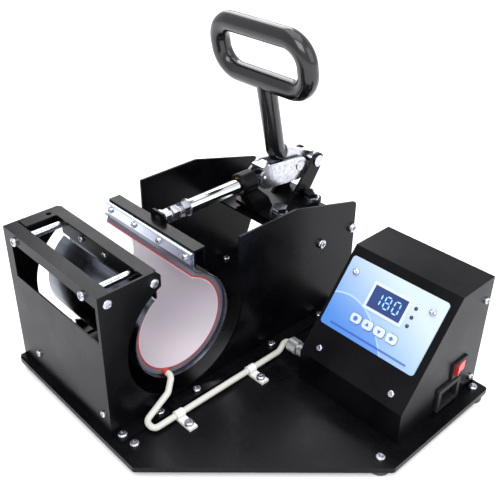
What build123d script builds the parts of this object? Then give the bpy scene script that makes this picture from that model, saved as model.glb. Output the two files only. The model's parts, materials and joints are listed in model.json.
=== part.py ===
"""Mug heat press.

A curved heating mat stands open between two pairs of sheet steel plates on a polygonal base.
Its left edge is fixed in a cradle frame.  Its right edge is clamped to a bracket that a
push-pull toggle clamp moves along Y.  A control box stands at the right rear.

Frame: +X runs along the mug's axis towards the side where the mug goes in, +Y is the way the
clamp pulls back when it opens, +Z is up.  The origin is under the middle of the whole press, on
the surface that it stands on.  All sizes are in millimetres.
"""
import os
from math import asin, cos, degrees, hypot, radians, sin, sqrt

from build123d import *

# ---------------------------------------------------------------- fits
SLIP = 0.05  # radial clearance of a running fit
BOLT_GAP = 0.2  # radial clearance of a screw or bolt in its hole
FACE_GAP = 0.3  # gap between pieces that pass each other

# ---------------------------------------------------------------- base
BASE_X = 314.0
BASE_Y = 282.0
REAR_OVERHANG = 31.0  # clamp ears behind the base plate
CUT_X = 137.0  # front corner cut away, along X
CUT_Y = 149.4  # front corner cut away, along Y
BASE_SHEET = 2.0
BASE_LIP = 5.0  # depth of the folded edge, sheet included
BASE_CORNER_R = 3.0
FOOT_R = 9.0
FOOT_NECK_R = 7.3
FOOT_H = 9.0
FOOT_INSET = 9.6

BASE_TOP = FOOT_H + BASE_SHEET
MID_Y = -REAR_OVERHANG / 2  # middle of the base plate
FRONT_Y = MID_Y - BASE_Y / 2
BACK_Y = MID_Y + BASE_Y / 2

# ---------------------------------------------------------------- plates, cradle and tower
PLATE_T = 2.0
PANEL_T = 1.5
PLATES_X = 140.0  # over the outer faces of a pair of plates
PRESS_X = PLATES_X / 2 - BASE_X / 2  # middle of the press along X
PRESS_AXIS_Y = MID_Y - 52.0  # mug axis
PRESS_AXIS_Z = BASE_TOP + 66.0
ARC_R = 61.0  # round cut in the plates, about the mug axis
CRADLE_FRONT = 6.5  # cradle face behind the base plate's front edge
CRADLE_TOP = BASE_TOP + 137.3
CRADLE_REAR_DY = 25.0  # cradle's rear edge in front of the mug axis
CRADLE_CHAMFER = 5.0
CRADLE_TOE_DY = 32.0  # end of the plates' feet under the mat, from the mug axis
FLANGE_W = 12.0  # folded feet and edges
FOOT_FLANGE_SKIP = 14.0
TOP_FLANGE_FRONT = 12.5
TOP_FLANGE_REAR = 14.5
REAR_PANEL_INSET = 3.2
REAR_PANEL_LOW = BASE_TOP + 110.5
WINDOW_LOW = 93.0  # above the base plate
WINDOW_HIGH = 127.0
WINDOW_SIDE = 10.0
SILL_W = 5.0
TOWER_FRONT_DY = 58.0  # tower's front edge behind the mug axis
TOWER_FOOT_DY = (2.0, 93.0, 160.0)  # foot screws
TOWER_TOE_DY = 28.0
TOWER_KINK_DY = 126.0
TOWER_REAR_DY = 211.0
TOWER_TOP = BASE_TOP + 132.0
TOWER_REAR_TOP = BASE_TOP + 109.0
TOWER_REAR_LOW = BASE_TOP + 50.0
TOWER_REAR_R = 5.0
TIE_ROD_D = 5.0
TIE_ROD_Z = BASE_TOP + 130.5
TIE_ROD_SIDE = 19.3  # inside the plates' outer faces
TIE_ROD_X = PLATES_X / 2 - TIE_ROD_SIDE  # half spacing

# ---------------------------------------------------------------- heating mat
MUG_R = 41.5
LINER_T = 0.8
HEATER_T = 1.5
INSULATION_T = 4.2
BACKING_T = 0.8
BACKING_SIDE = 3.0  # the backing sheet's ends inside the plates' outer faces
BACKING_L = PLATES_X - 2 * BACKING_SIDE
MAT_SIDE = 5.0  # the mat's ends inside the backing sheet's
MAT_L = BACKING_L - 2 * MAT_SIDE
MAT_SHIFT = -3.0  # middle of the mat from the middle of the plates, along X
MAT_EDGE_GAP_DEG = 1.1  # from the backing sheet's flanges to the mat's edges
FLANGE_RIGHT_TOP = BASE_TOP + 129.0
FLANGE_LEFT_TOP = BASE_TOP + 126.0
MAT_OUT_R = MUG_R + LINER_T + HEATER_T + INSULATION_T
MAT_X = PRESS_X + MAT_SHIFT

# ---------------------------------------------------------------- clamp strips and bracket
STRIP_SIDE = 10.0  # the strips' ends inside the plates' outer faces
STRIP_L = PLATES_X - 2 * STRIP_SIDE
STRIP_T = 3.0
STRIP_LOW = BASE_TOP + 118.0
STRIP_HIGH = BASE_TOP + 129.0
STRIP_PITCH = 35.0
LEFT_STRIP_T = 2.0
LEFT_STRIP_LOW = BASE_TOP + 113.0
LEFT_STRIP_HIGH = BASE_TOP + 125.0
BRACKET_T = 2.0
BRACKET_W = 11.6
BRACKET_TOP = BASE_TOP + 131.0
BRACKET_FRONT_H = 15.5
BRACKET_REAR_H = 15.5
LUG_W = 20.0
LUG_ABOVE = 8.0
RIGHT_FLANGE_DY = 16.0  # backing sheet's right flange, behind the mug axis

# ---------------------------------------------------------------- toggle clamp
CLAMP_Z = BASE_TOP + 131.0  # plunger axis and pivots at rest
PIVOT_EAR_DY = 216.0  # lever pivot behind the mug axis
LEVER_ARM = 21.6  # lever pivot to link pivot
LINK_L = 44.6  # link pivot to plunger pivot
ROD_D = 13.0
ROD_FRONT_DY = 59.0
TONGUE_T = 8.0
TONGUE_L = 10.5
STUD_D = 8.0
STUD_DEPTH = 14.0
NUT_AF = 13.0
NUT_T = 6.5
WASHER_T = 2.0
BUSH_WALL = 1.5
BUSH_INSET = 2.0
BARREL_D = 22.0
BARREL_FRONT_DY = 120.0
BARREL_L = 18.0
EAR_GAP = 22.0
EAR_T = 3.0
EAR_R = 8.0
LINK_GAP = 14.4
LINK_T = 2.5
LINK_FRONT_R = 10.0
LINK_REAR_R = 12.0
LINK_WEB_L = 13.0
LEVER_T = 11.0
LEVER_W = 13.0
LEVER_EYE_R = 8.0
PIN_D = 8.0
RIVET_HEAD_R = 5.0
RIVET_HEAD_T = 1.0
DECK_FRONT_DY = 138.0
DECK_Z = BASE_TOP + 90.0
DECK_FLANGE_H = 17.0
SPACER_H = 4.0
SPACER_D = 16.0
CLAMP_BASE_T = 4.0
CLAMP_BASE_X = 60.0
CLAMP_BASE_L = 68.0
CLAMP_BOLT_X = 22.0
CLAMP_BOLT_DY = (155.0, 200.0)
SIDE_SCREW_DY = (161.8, 206.3)
SIDE_SCREW_Z = DECK_Z - 8.0

# ---------------------------------------------------------------- handle
GRIP_D = 18.5
CORE_D = 10.0
ARM_LEAN = 12.0  # from upright, towards the mat
LOOP_W = 108.5  # centre line
LOOP_H = 49.0
LOOP_R = 21.0
LOOP_LOW_Z = BASE_TOP + 225.5
ELBOW_DY = 169.2
ELBOW_Z = BASE_TOP + 151.3
ELBOW_R = 9.0
ELBOW_TAIL = 7.0

# ---------------------------------------------------------------- control box
BOX_W = 107.0
BOX_SIDE_GAP = 14.0  # box's right side to the base plate's edge
BOX_BACK_GAP = 2.5
BOX_D = 109.5
BOX_TOP_D = 44.5
BOX_H = 112.4
BOX_FRONT_H = 30.8
BOX_SHEET = 1.5
PANEL_PLATE_W = 96.5
PANEL_PLATE_H = 64.5
PANEL_PLATE_T = 1.0
PANEL_PLATE_R = 3.0
PANEL_LOW = 31.0  # panel's lower edge up the slope
PANEL_SHIFT = -1.5
DISPLAY_W = 33.0
DISPLAY_H = 19.5
DISPLAY_AT = (0.5, 41.0)  # centre, from the panel's lower middle
LED_D = 3.0
LED_X = 24.5
LED_UP = (32.7, 40.4, 48.4)
BUTTON_W = 10.0
BUTTON_H = 8.0
BUTTON_R = 3.0
BUTTON_PITCH = 12.2
BUTTON_UP = 17.5
BUTTON_PROUD = 1.6
BUTTON_TRAVEL = 1.0
BOARD_T = 1.6
BOARD_TOP = -8.5  # panel board's face, below the slope
ROCKER_DY = 77.3  # switch centre behind the box's front
ROCKER_UP = 36.6
ROCKER_W = 19.0
ROCKER_H = 13.0
INLET_DY = 65.2
INLET_UP = 14.5
INLET_W = 27.0
INLET_H = 20.0
SOCKET_DY = 17.0
SOCKET_UP = 13.0

# ---------------------------------------------------------------- heater lead
LEAD_D = 5.4
LEAD_X = 2.5
LEAD_FOLD = 10.0  # width of the lead's turn back
LEAD_OUT = 3.3  # its middle outside the mug's surface, where it leaves the mat
LEAD_SIDE = 18.5  # the same place in front of the mug axis
LEAD_RADII = (6.0, 10.0, 4.9, 4.9, 7.0, 4.9)
CLIP_Y = (MID_Y - 80.5, MID_Y + 1.5)
CLIP_W = 8.0
CLIP_WALL = 1.2
CLIP_REACH = 13.0
PLUG_D = 12.0
PLUG_L = 25.0

# ---------------------------------------------------------------- screws: shank, head, head height
M3 = (3.0, 6.0, 2.2)
M4 = (4.0, 8.0, 2.8)
M5 = (5.0, 9.5, 3.4)


# ================================================================ small shapes
def block(x_span, y_span, z_span):
    """A box between two places along each axis."""
    spans = (x_span, y_span, z_span)
    sizes = [span[1] - span[0] for span in spans]
    middle = [(span[1] + span[0]) / 2 for span in spans]
    return Pos(*middle) * Box(*sizes)


def bar(start, end, diameter):
    """A round bar between two points."""
    start = Vector(start)
    run = Vector(end) - start
    plane = Plane(origin=start, z_dir=run.normalized())
    return plane * Cylinder(diameter / 2, run.length, align=(Align.CENTER, Align.CENTER, Align.MIN))


def plate_yz(points, x_span):
    """A flat plate that stands in a YZ plane, from its outline."""
    face = Plane.YZ.offset(x_span[0]) * Polygon(*points, align=None)
    return extrude(face, amount=x_span[1] - x_span[0], dir=(1, 0, 0))


def round_hull_yz(circles, x_span):
    """The outline round some circles (y, z, radius), as a plate in a YZ plane."""
    discs = Sketch() + [Pos(y, z) * Circle(r) for y, z, r in circles]
    sketch = make_hull(discs.edges())
    return extrude(Plane.YZ.offset(x_span[0]) * sketch, amount=x_span[1] - x_span[0], dir=(1, 0, 0))


def pan_screw(size, at, into, length):
    """A pan head screw with a cross recess.  at is under its head."""
    shank_d, head_d, head_h = size
    head = Cylinder(head_d / 2, head_h, align=(Align.CENTER, Align.CENTER, Align.MIN))
    head = fillet(head.edges().group_by(Axis.Z)[-1], head_h * 0.55)
    slot = Pos(0, 0, head_h) * Box(head_d * 0.55, head_d * 0.14, head_h * 0.9)
    shank = Cylinder(shank_d / 2, length, align=(Align.CENTER, Align.CENTER, Align.MAX))
    screw = head + shank - slot - Rot(0, 0, 90) * slot
    return Plane(origin=at, z_dir=-Vector(into)) * screw


def screw_hole(size, at, into, length):
    """The clearance hole of a screw, a little longer than the screw at both ends."""
    run = Vector(into).normalized()
    start = Vector(at) - run * 0.5
    end = Vector(at) + run * (length + 0.5)
    return bar(start, end, size[0] + 2 * BOLT_GAP)


def hex_prism(across_flats, height, at, along):
    """A hexagonal prism that starts at a point."""
    sketch = RegularPolygon(across_flats / 2, 6, major_radius=False)
    return Plane(origin=at, z_dir=along) * extrude(sketch, amount=height)


def cut_all(solid, cutters):
    """Takes each cutter away from a solid."""
    for cutter in cutters:
        solid = solid - cutter
    return solid


def group(solids):
    """Separate solids that share one node."""
    return Compound(children=list(solids))


def mirror_x(x_offset):
    """The two places that lie the same way off the middle of the press."""
    return (PRESS_X - x_offset, PRESS_X + x_offset)


def from_axis(dy):
    """A place along Y, counted from the mug axis."""
    return PRESS_AXIS_Y + dy


# ================================================================ base and feet
def base_outline():
    """The base plate's outline, a rectangle with its front corner cut away."""
    half = BASE_X / 2
    return [
        (-half, FRONT_Y),
        (half - CUT_X, FRONT_Y),
        (half, FRONT_Y + CUT_Y),
        (half, BACK_Y),
        (-half, BACK_Y),
    ]


def foot_places():
    """The middles of the five feet."""
    half = BASE_X / 2
    return [
        (-half + FOOT_INSET, FRONT_Y + 1.5 * FOOT_INSET),
        (half - CUT_X - 1.9 * FOOT_INSET, FRONT_Y + 1.6 * FOOT_INSET),
        (half - 1.5 * FOOT_INSET, FRONT_Y + CUT_Y),
        (half - FOOT_INSET, BACK_Y - FOOT_INSET),
        (-half + FOOT_INSET, BACK_Y - FOOT_INSET),
    ]


def base_screw_places():
    """Every screw that goes down through the base plate, apart from the feet's."""
    return cradle_foot_screws() + tower_foot_screws() + clip_screw_places() + box_floor_screws()


def base_plate():
    """The folded base plate."""
    outline = fillet(Polygon(*base_outline(), align=None).vertices(), BASE_CORNER_R)
    tray = extrude(Plane.XY.offset(BASE_TOP - BASE_LIP) * outline, amount=BASE_LIP)
    inside = offset(outline, amount=-BASE_SHEET)
    tray = tray - extrude(Plane.XY.offset(BASE_TOP - BASE_LIP) * inside, amount=BASE_LIP - BASE_SHEET)
    holes = [screw_hole(M4, (x, y, BASE_TOP), (0, 0, -1), BASE_SHEET) for x, y in foot_places()]
    holes += [screw_hole(M4, (x, y, BASE_TOP), (0, 0, -1), BASE_SHEET) for x, y in base_screw_places()]
    return cut_all(tray, holes)


def rubber_feet():
    """Five round feet, each with a neck that fits inside the base plate's lip."""
    feet = []
    for x, y in foot_places():
        foot = bar((x, y, 0), (x, y, BASE_TOP - BASE_LIP - 0.5), 2 * FOOT_R)
        foot = chamfer(foot.edges().group_by(Axis.Z)[0], 0.8)
        foot = foot + bar((x, y, 1), (x, y, FOOT_H), 2 * FOOT_NECK_R)
        feet.append(foot - bar((x, y, 2.0), (x, y, FOOT_H + 1), M4[0] + 2 * SLIP))
    return group(feet)


def base_screws():
    """Every screw that goes down through the base plate."""
    foot_length = FOOT_H + BASE_SHEET - 3.0
    screws = [pan_screw(M4, (x, y, BASE_TOP), (0, 0, -1), foot_length) for x, y in foot_places()]
    for places, thickness in (
        (cradle_foot_screws(), PLATE_T),
        (tower_foot_screws(), PLATE_T),
        (clip_screw_places(), 2 * CLIP_WALL),
        (box_floor_screws(), BOX_SHEET),
    ):
        for x, y in places:
            screws.append(pan_screw(M4, (x, y, BASE_TOP + thickness), (0, 0, -1), thickness + 4.0))
    return group(screws)


# ================================================================ cradle
CRADLE_FACE_Y = FRONT_Y + CRADLE_FRONT
CRADLE_REAR_Y = from_axis(-CRADLE_REAR_DY)
CRADLE_TOE_Y = from_axis(-CRADLE_TOE_DY)
NEAR_OUT = PRESS_X + PLATES_X / 2
NEAR_IN = NEAR_OUT - PLATE_T
FAR_OUT = PRESS_X - PLATES_X / 2
FAR_IN = FAR_OUT + PLATE_T
SIDE_SCREWS_YZ = ((CRADLE_FACE_Y + 7.7, BASE_TOP + 129.6), (CRADLE_REAR_Y - 7.4, BASE_TOP + 128.1))


def arc_cutter():
    """The round cut of the plates, about the mug axis."""
    ends = [(x, PRESS_AXIS_Y, PRESS_AXIS_Z) for x in (FAR_OUT - 5, NEAR_OUT + 5)]
    return bar(ends[0], ends[1], 2 * ARC_R)


def foot_flange_x(near):
    """A plate's folded foot: it points outwards on the near side and inwards on the far side."""
    if near:
        return (NEAR_OUT, NEAR_OUT + FLANGE_W)
    return (FAR_IN, FAR_IN + FLANGE_W)


def foot_screw_x(near):
    """The line of the screws in a folded foot."""
    span = foot_flange_x(near)
    return (span[0] + span[1]) / 2


def cradle_foot_y(near):
    """A cradle plate's folded foot along Y.  The far one starts behind the rubber foot's screw."""
    front = CRADLE_FACE_Y + PANEL_T
    return (front if near else front + FOOT_FLANGE_SKIP, CRADLE_TOE_Y)


def cradle_foot_screws():
    """The screws through the cradle plates' feet."""
    places = []
    for near in (True, False):
        for y in (cradle_foot_y(near)[0] + 5.0, CRADLE_TOE_Y - 6.0):
            places.append((foot_screw_x(near), y))
    return places


def cradle_plate(near):
    """A cradle end plate with its round cut and its folded foot."""
    face = CRADLE_FACE_Y + PANEL_T
    x_span = (NEAR_IN, NEAR_OUT) if near else (FAR_OUT, FAR_IN)
    outline = [
        (face, BASE_TOP),
        (face, CRADLE_TOP),
        (CRADLE_REAR_Y - CRADLE_CHAMFER, CRADLE_TOP),
        (CRADLE_REAR_Y, CRADLE_TOP - CRADLE_CHAMFER),
        (CRADLE_REAR_Y, PRESS_AXIS_Z),
        (CRADLE_TOE_Y, PRESS_AXIS_Z),
        (CRADLE_TOE_Y, BASE_TOP),
    ]
    plate = plate_yz(outline, x_span) - arc_cutter()
    plate = plate + block(foot_flange_x(near), cradle_foot_y(near), (BASE_TOP, BASE_TOP + PLATE_T))
    if not near:
        edge = (CRADLE_TOP - PANEL_T, CRADLE_TOP)
        rear = CRADLE_REAR_Y - TOP_FLANGE_REAR
        lip = block((FAR_IN, FAR_IN + FLANGE_W), (face + TOP_FLANGE_FRONT, rear), edge)
        hole = bar((FAR_IN + 6, rear - 4, CRADLE_TOP - 5), (FAR_IN + 6, rear - 4, CRADLE_TOP + 5), 5.0)
        plate = plate + lip - hole
    into = (-1, 0, 0) if near else (1, 0, 0)
    outer = NEAR_OUT if near else FAR_OUT
    holes = [screw_hole(M4, (outer, y, z), into, PLATE_T) for y, z in SIDE_SCREWS_YZ]
    holes += [
        screw_hole(M4, (x, y, BASE_TOP + PLATE_T), (0, 0, -1), PLATE_T) for x, y in cradle_foot_screws()
    ]
    return cut_all(plate, holes)


def side_tabs(y_span, z_span):
    """Folded tabs that a panel is screwed to the end plates by."""
    return [
        block((NEAR_IN - PANEL_T, NEAR_IN), y_span, z_span),
        block((FAR_IN, FAR_IN + PANEL_T), y_span, z_span),
    ]


def side_screw_holes(y, z):
    """The tapped holes in a panel's two tabs."""
    depth = PLATE_T + PANEL_T
    return [
        screw_hole(M4, (NEAR_OUT, y, z), (-1, 0, 0), depth),
        screw_hole(M4, (FAR_OUT, y, z), (1, 0, 0), depth),
    ]


def cradle_face_panel():
    """The cradle's front panel, with its window, top flange, tabs and sill."""
    y_span = (CRADLE_FACE_Y, CRADLE_FACE_Y + PANEL_T)
    panel = block((FAR_OUT, NEAR_OUT), y_span, (BASE_TOP, CRADLE_TOP))
    window_x = (FAR_IN + WINDOW_SIDE, NEAR_IN - PANEL_T)
    window_z = (BASE_TOP + WINDOW_LOW, BASE_TOP + WINDOW_HIGH)
    panel = panel - block(window_x, (y_span[0] - 1, y_span[1] + 1), window_z)
    top_y = (CRADLE_FACE_Y, CRADLE_FACE_Y + TOP_FLANGE_FRONT)
    panel = panel + block((FAR_IN, NEAR_IN), top_y, (CRADLE_TOP - PANEL_T, CRADLE_TOP))
    sill_y = (CRADLE_FACE_Y - SILL_W, CRADLE_FACE_Y)
    panel = panel + block((FAR_OUT, NEAR_OUT), sill_y, (BASE_TOP, BASE_TOP + PANEL_T))
    tab_z = (BASE_TOP + WINDOW_HIGH - 4, CRADLE_TOP - PANEL_T)
    for tab in side_tabs((y_span[1], top_y[1]), tab_z):
        panel = panel + tab
    holes = side_screw_holes(*SIDE_SCREWS_YZ[0])
    for x in mirror_x(TIE_ROD_X):
        holes.append(screw_hole(M4, (x, CRADLE_FACE_Y, TIE_ROD_Z), (0, 1, 0), PANEL_T))
    for x, z in face_screw_places():
        holes.append(screw_hole(M3, (x, CRADLE_FACE_Y, z), (0, 1, 0), PANEL_T))
    return cut_all(panel, holes)


def face_screw_places():
    """Two small screws low on the front panel, which hold the lead's junction plate behind it."""
    return [(NEAR_OUT - 8.5, BASE_TOP + 19.5), (FAR_OUT + 31.0, BASE_TOP + 19.5)]


def cradle_cross_strap():
    """A strap behind the front panel that stiffens its lower edge."""
    y_span = (CRADLE_FACE_Y + PANEL_T, CRADLE_FACE_Y + 2 * PANEL_T)
    strap = block((FAR_IN, NEAR_IN), y_span, (BASE_TOP + 12, BASE_TOP + 27))
    fold = block((FAR_IN, NEAR_IN), (y_span[0], y_span[0] + 10), (BASE_TOP + 27 - PANEL_T, BASE_TOP + 27))
    holes = [
        screw_hole(M3, (x, CRADLE_FACE_Y, z), (0, 1, 0), 2 * PANEL_T) for x, z in face_screw_places()
    ]
    return cut_all(strap + fold, holes)


REAR_PANEL_BACK = CRADLE_REAR_Y - REAR_PANEL_INSET
REAR_PANEL_FRONT = REAR_PANEL_BACK - PANEL_T
LEFT_SCREW_Z = (LEFT_STRIP_LOW + LEFT_STRIP_HIGH) / 2
RIGHT_SCREW_Z = (STRIP_LOW + STRIP_HIGH) / 2


def cradle_rear_panel():
    """The panel that the mat's left edge is fixed to."""
    y_span = (REAR_PANEL_FRONT, REAR_PANEL_BACK)
    panel = block((FAR_IN, NEAR_IN), y_span, (REAR_PANEL_LOW, CRADLE_TOP))
    top_y = (CRADLE_REAR_Y - TOP_FLANGE_REAR, y_span[1])
    panel = panel + block((FAR_IN, NEAR_IN), top_y, (CRADLE_TOP - PANEL_T, CRADLE_TOP))
    for tab in side_tabs((top_y[0], y_span[0]), (BASE_TOP + 121, CRADLE_TOP - PANEL_T)):
        panel = panel + tab
    holes = side_screw_holes(*SIDE_SCREWS_YZ[1])
    for x in mirror_x(TIE_ROD_X):
        holes.append(screw_hole(M4, (x, y_span[1], TIE_ROD_Z), (0, -1, 0), PANEL_T))
    for x in left_strip_screw_x():
        holes.append(screw_hole(M3, (x, y_span[0], LEFT_SCREW_Z), (0, 1, 0), PANEL_T))
    return cut_all(panel, holes)


def left_strip_screw_x():
    """The three screws of the mat's left edge."""
    return [PRESS_X + i * STRIP_PITCH for i in (-1, 0, 1)]


def right_strip_screw_x():
    """The four screws of the mat's right edge."""
    return [PRESS_X + (i - 1.5) * STRIP_PITCH for i in range(4)]


def tie_rods():
    """Two round rods between the cradle's panels."""
    rods = []
    ends = (CRADLE_FACE_Y + PANEL_T, REAR_PANEL_FRONT)
    for x in mirror_x(TIE_ROD_X):
        rod = bar((x, ends[0], TIE_ROD_Z), (x, ends[1], TIE_ROD_Z), TIE_ROD_D + 1.5)
        for end, step in ((ends[0], 9), (ends[1], -9)):
            rod = rod - bar((x, end - step / 9, TIE_ROD_Z), (x, end + step, TIE_ROD_Z), M4[0] + 2 * SLIP)
        rods.append(rod)
    return group(rods)


def cradle_screws():
    """The cradle's screws: into the tie rods, the tabs and the strap."""
    screws = []
    for x in mirror_x(TIE_ROD_X):
        screws.append(pan_screw(M4, (x, CRADLE_FACE_Y, TIE_ROD_Z), (0, 1, 0), 8.0))
        screws.append(pan_screw(M4, (x, REAR_PANEL_BACK, TIE_ROD_Z), (0, -1, 0), 8.0))
    for y, z in SIDE_SCREWS_YZ:
        screws.append(pan_screw(M4, (NEAR_OUT, y, z), (-1, 0, 0), 6.0))
        screws.append(pan_screw(M4, (FAR_OUT, y, z), (1, 0, 0), 6.0))
    for x, z in face_screw_places():
        screws.append(pan_screw(M3, (x, CRADLE_FACE_Y, z), (0, 1, 0), 6.0))
    return group(screws)


# ================================================================ heating mat
def ring_layer(inner_r, thickness, length):
    """A closed ring about the mug axis."""
    ends = [(MAT_X + side * length / 2, PRESS_AXIS_Y, PRESS_AXIS_Z) for side in (-1, 1)]
    outer = bar(ends[0], ends[1], 2 * (inner_r + thickness))
    longer = [(end[0] + side, end[1], end[2]) for end, side in zip(ends, (-1, 1))]
    return outer - bar(longer[0], longer[1], 2 * inner_r)


RIGHT_FLANGE_Y = (from_axis(RIGHT_FLANGE_DY) - 0.4, from_axis(RIGHT_FLANGE_DY) - 0.4 + BACKING_T)
LEFT_FLANGE_Y = (REAR_PANEL_BACK, REAR_PANEL_BACK + BACKING_T)
MAT_RIGHT_DEG = degrees(asin((RIGHT_FLANGE_Y[0] - PRESS_AXIS_Y) / MAT_OUT_R)) + MAT_EDGE_GAP_DEG
MAT_LEFT_DEG = degrees(asin((LEFT_FLANGE_Y[1] - PRESS_AXIS_Y) / MAT_OUT_R)) - MAT_EDGE_GAP_DEG


def mouth():
    """The wedge over the mug axis that leaves the mat open, its edges set from straight up."""
    reach = 2 * MAT_OUT_R
    points = [(PRESS_AXIS_Y, PRESS_AXIS_Z)]
    for edge in (MAT_LEFT_DEG, MAT_RIGHT_DEG):
        angle = radians(edge)
        points.append((PRESS_AXIS_Y + reach * sin(angle), PRESS_AXIS_Z + reach * cos(angle)))
    return plate_yz(points, (PRESS_X - BACKING_L, PRESS_X + BACKING_L))


def heater_liner():
    """The smooth inner face of the mat, which touches the mug."""
    return ring_layer(MUG_R, LINER_T, MAT_L) - mouth()


def heater_mat():
    """The silicone mat with the heating wires."""
    mat = ring_layer(MUG_R + LINER_T, HEATER_T, MAT_L) - mouth()
    return mat + lead_boot()


def insulation_layer():
    """The sponge layer between the mat and its backing."""
    inner = MUG_R + LINER_T + HEATER_T
    return ring_layer(inner, INSULATION_T, MAT_L) - mouth()


def backing_sheet():
    """The spring steel sheet round the mat, with a flange along each edge."""
    ring = ring_layer(MAT_OUT_R, BACKING_T, BACKING_L)
    inner_edge = MAT_OUT_R
    open_y = (LEFT_FLANGE_Y[0] + BACKING_T / 2, RIGHT_FLANGE_Y[1] - BACKING_T / 2)
    reach = MAT_OUT_R + BACKING_T + 2
    gap_z = (PRESS_AXIS_Z, PRESS_AXIS_Z + reach)
    ring = ring - block((PRESS_X - BACKING_L, PRESS_X + BACKING_L), open_y, gap_z)
    x_span = (PRESS_X - STRIP_L / 2, PRESS_X + STRIP_L / 2)
    sheet = ring
    for span, top in ((RIGHT_FLANGE_Y, FLANGE_RIGHT_TOP), (LEFT_FLANGE_Y, FLANGE_LEFT_TOP)):
        side = max(abs(span[0] - PRESS_AXIS_Y), abs(span[1] - PRESS_AXIS_Y))
        foot = PRESS_AXIS_Z + sqrt(inner_edge**2 - side**2)
        sheet = sheet + block(x_span, span, (foot, top))
    holes = [bar((x, RIGHT_FLANGE_Y[0] - 1, RIGHT_SCREW_Z), (x, RIGHT_FLANGE_Y[1] + 1, RIGHT_SCREW_Z), 3.4)
             for x in right_strip_screw_x()]
    holes += [bar((x, LEFT_FLANGE_Y[0] - 1, LEFT_SCREW_Z), (x, LEFT_FLANGE_Y[1] + 1, LEFT_SCREW_Z), 3.4)
              for x in left_strip_screw_x()]
    return cut_all(sheet, holes)


def left_clamp_strip():
    """The strip that holds the mat's left flange on the cradle."""
    y_span = (LEFT_FLANGE_Y[1], LEFT_FLANGE_Y[1] + LEFT_STRIP_T)
    x_span = (PRESS_X - STRIP_L / 2, PRESS_X + STRIP_L / 2)
    strip = block(x_span, y_span, (LEFT_STRIP_LOW, LEFT_STRIP_HIGH))
    holes = [
        screw_hole(M3, (x, y_span[0], LEFT_SCREW_Z), (0, 1, 0), LEFT_STRIP_T) for x in left_strip_screw_x()
    ]
    return cut_all(strip, holes)


def left_strip_screws():
    """The left strip's screws, with their heads inside the cradle."""
    length = PANEL_T + BACKING_T + LEFT_STRIP_T
    return group(
        [pan_screw(M3, (x, REAR_PANEL_FRONT, LEFT_SCREW_Z), (0, 1, 0), length) for x in left_strip_screw_x()]
    )


# ================================================================ moving bracket
STRIP_FACE_Y = RIGHT_FLANGE_Y[0] - STRIP_T
BRACKET_FACE_Y = RIGHT_FLANGE_Y[1]
BRACKET_REAR_Y = BRACKET_FACE_Y + BRACKET_W


def right_clamp_strip():
    """The aluminium strip that holds the mat's right flange on the bracket."""
    x_span = (PRESS_X - STRIP_L / 2, PRESS_X + STRIP_L / 2)
    strip = block(x_span, (STRIP_FACE_Y, RIGHT_FLANGE_Y[0]), (STRIP_LOW, STRIP_HIGH))
    front = strip.edges().filter_by(Axis.X).group_by(Axis.Y)[0]
    strip = chamfer(front, 0.8)
    holes = [
        screw_hole(M3, (x, STRIP_FACE_Y, RIGHT_SCREW_Z), (0, 1, 0), STRIP_T) for x in right_strip_screw_x()
    ]
    return cut_all(strip, holes)


def right_strip_screws():
    """The four screws of the right clamp strip."""
    length = STRIP_T + BACKING_T + BRACKET_T
    return group(
        [pan_screw(M3, (x, STRIP_FACE_Y, RIGHT_SCREW_Z), (0, 1, 0), length) for x in right_strip_screw_x()]
    )


def moving_bracket():
    """The folded channel behind the mat's right edge, with the plunger's lug."""
    x_span = (PRESS_X - STRIP_L / 2, PRESS_X + STRIP_L / 2)
    front_y = (BRACKET_FACE_Y, BRACKET_FACE_Y + BRACKET_T)
    rear_y = (BRACKET_REAR_Y - BRACKET_T, BRACKET_REAR_Y)
    bracket = block(x_span, front_y, (BRACKET_TOP - BRACKET_FRONT_H, BRACKET_TOP))
    bracket = bracket + block(x_span, (front_y[0], rear_y[1]), (BRACKET_TOP - BRACKET_T, BRACKET_TOP))
    bracket = bracket + block(x_span, rear_y, (BRACKET_TOP - BRACKET_REAR_H, BRACKET_TOP))
    lug = block(mirror_x(LUG_W / 2), rear_y, (BRACKET_TOP - BRACKET_REAR_H, CLAMP_Z + LUG_ABOVE))
    top_edges = lug.edges().filter_by(Axis.Y).group_by(Axis.Z)[-1]
    bracket = bracket + fillet(top_edges, 4.0)
    holes = [
        screw_hole(M3, (x, front_y[0], RIGHT_SCREW_Z), (0, 1, 0), BRACKET_T) for x in right_strip_screw_x()
    ]
    holes.append(bar((PRESS_X, rear_y[0] - 1, CLAMP_Z), (PRESS_X, rear_y[1] + 1, CLAMP_Z), STUD_D + 2 * SLIP))
    return cut_all(bracket, holes)


# ================================================================ toggle clamp
EAR_Y = from_axis(PIVOT_EAR_DY)
LINK_PIVOT_Y = EAR_Y - LEVER_ARM
ROD_PIVOT_Y = LINK_PIVOT_Y - LINK_L
ROD_FRONT_Y = from_axis(ROD_FRONT_DY)
BARREL_FRONT_Y = from_axis(BARREL_FRONT_DY)
BARREL_REAR_Y = BARREL_FRONT_Y + BARREL_L
DECK_REAR_Y = from_axis(TOWER_REAR_DY)
CLAMP_BASE_LOW = DECK_Z + SPACER_H
CLAMP_BASE_TOP = CLAMP_BASE_LOW + CLAMP_BASE_T
CLAMP_BASE_FRONT_Y = from_axis(DECK_FRONT_DY) + 4.0


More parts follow.
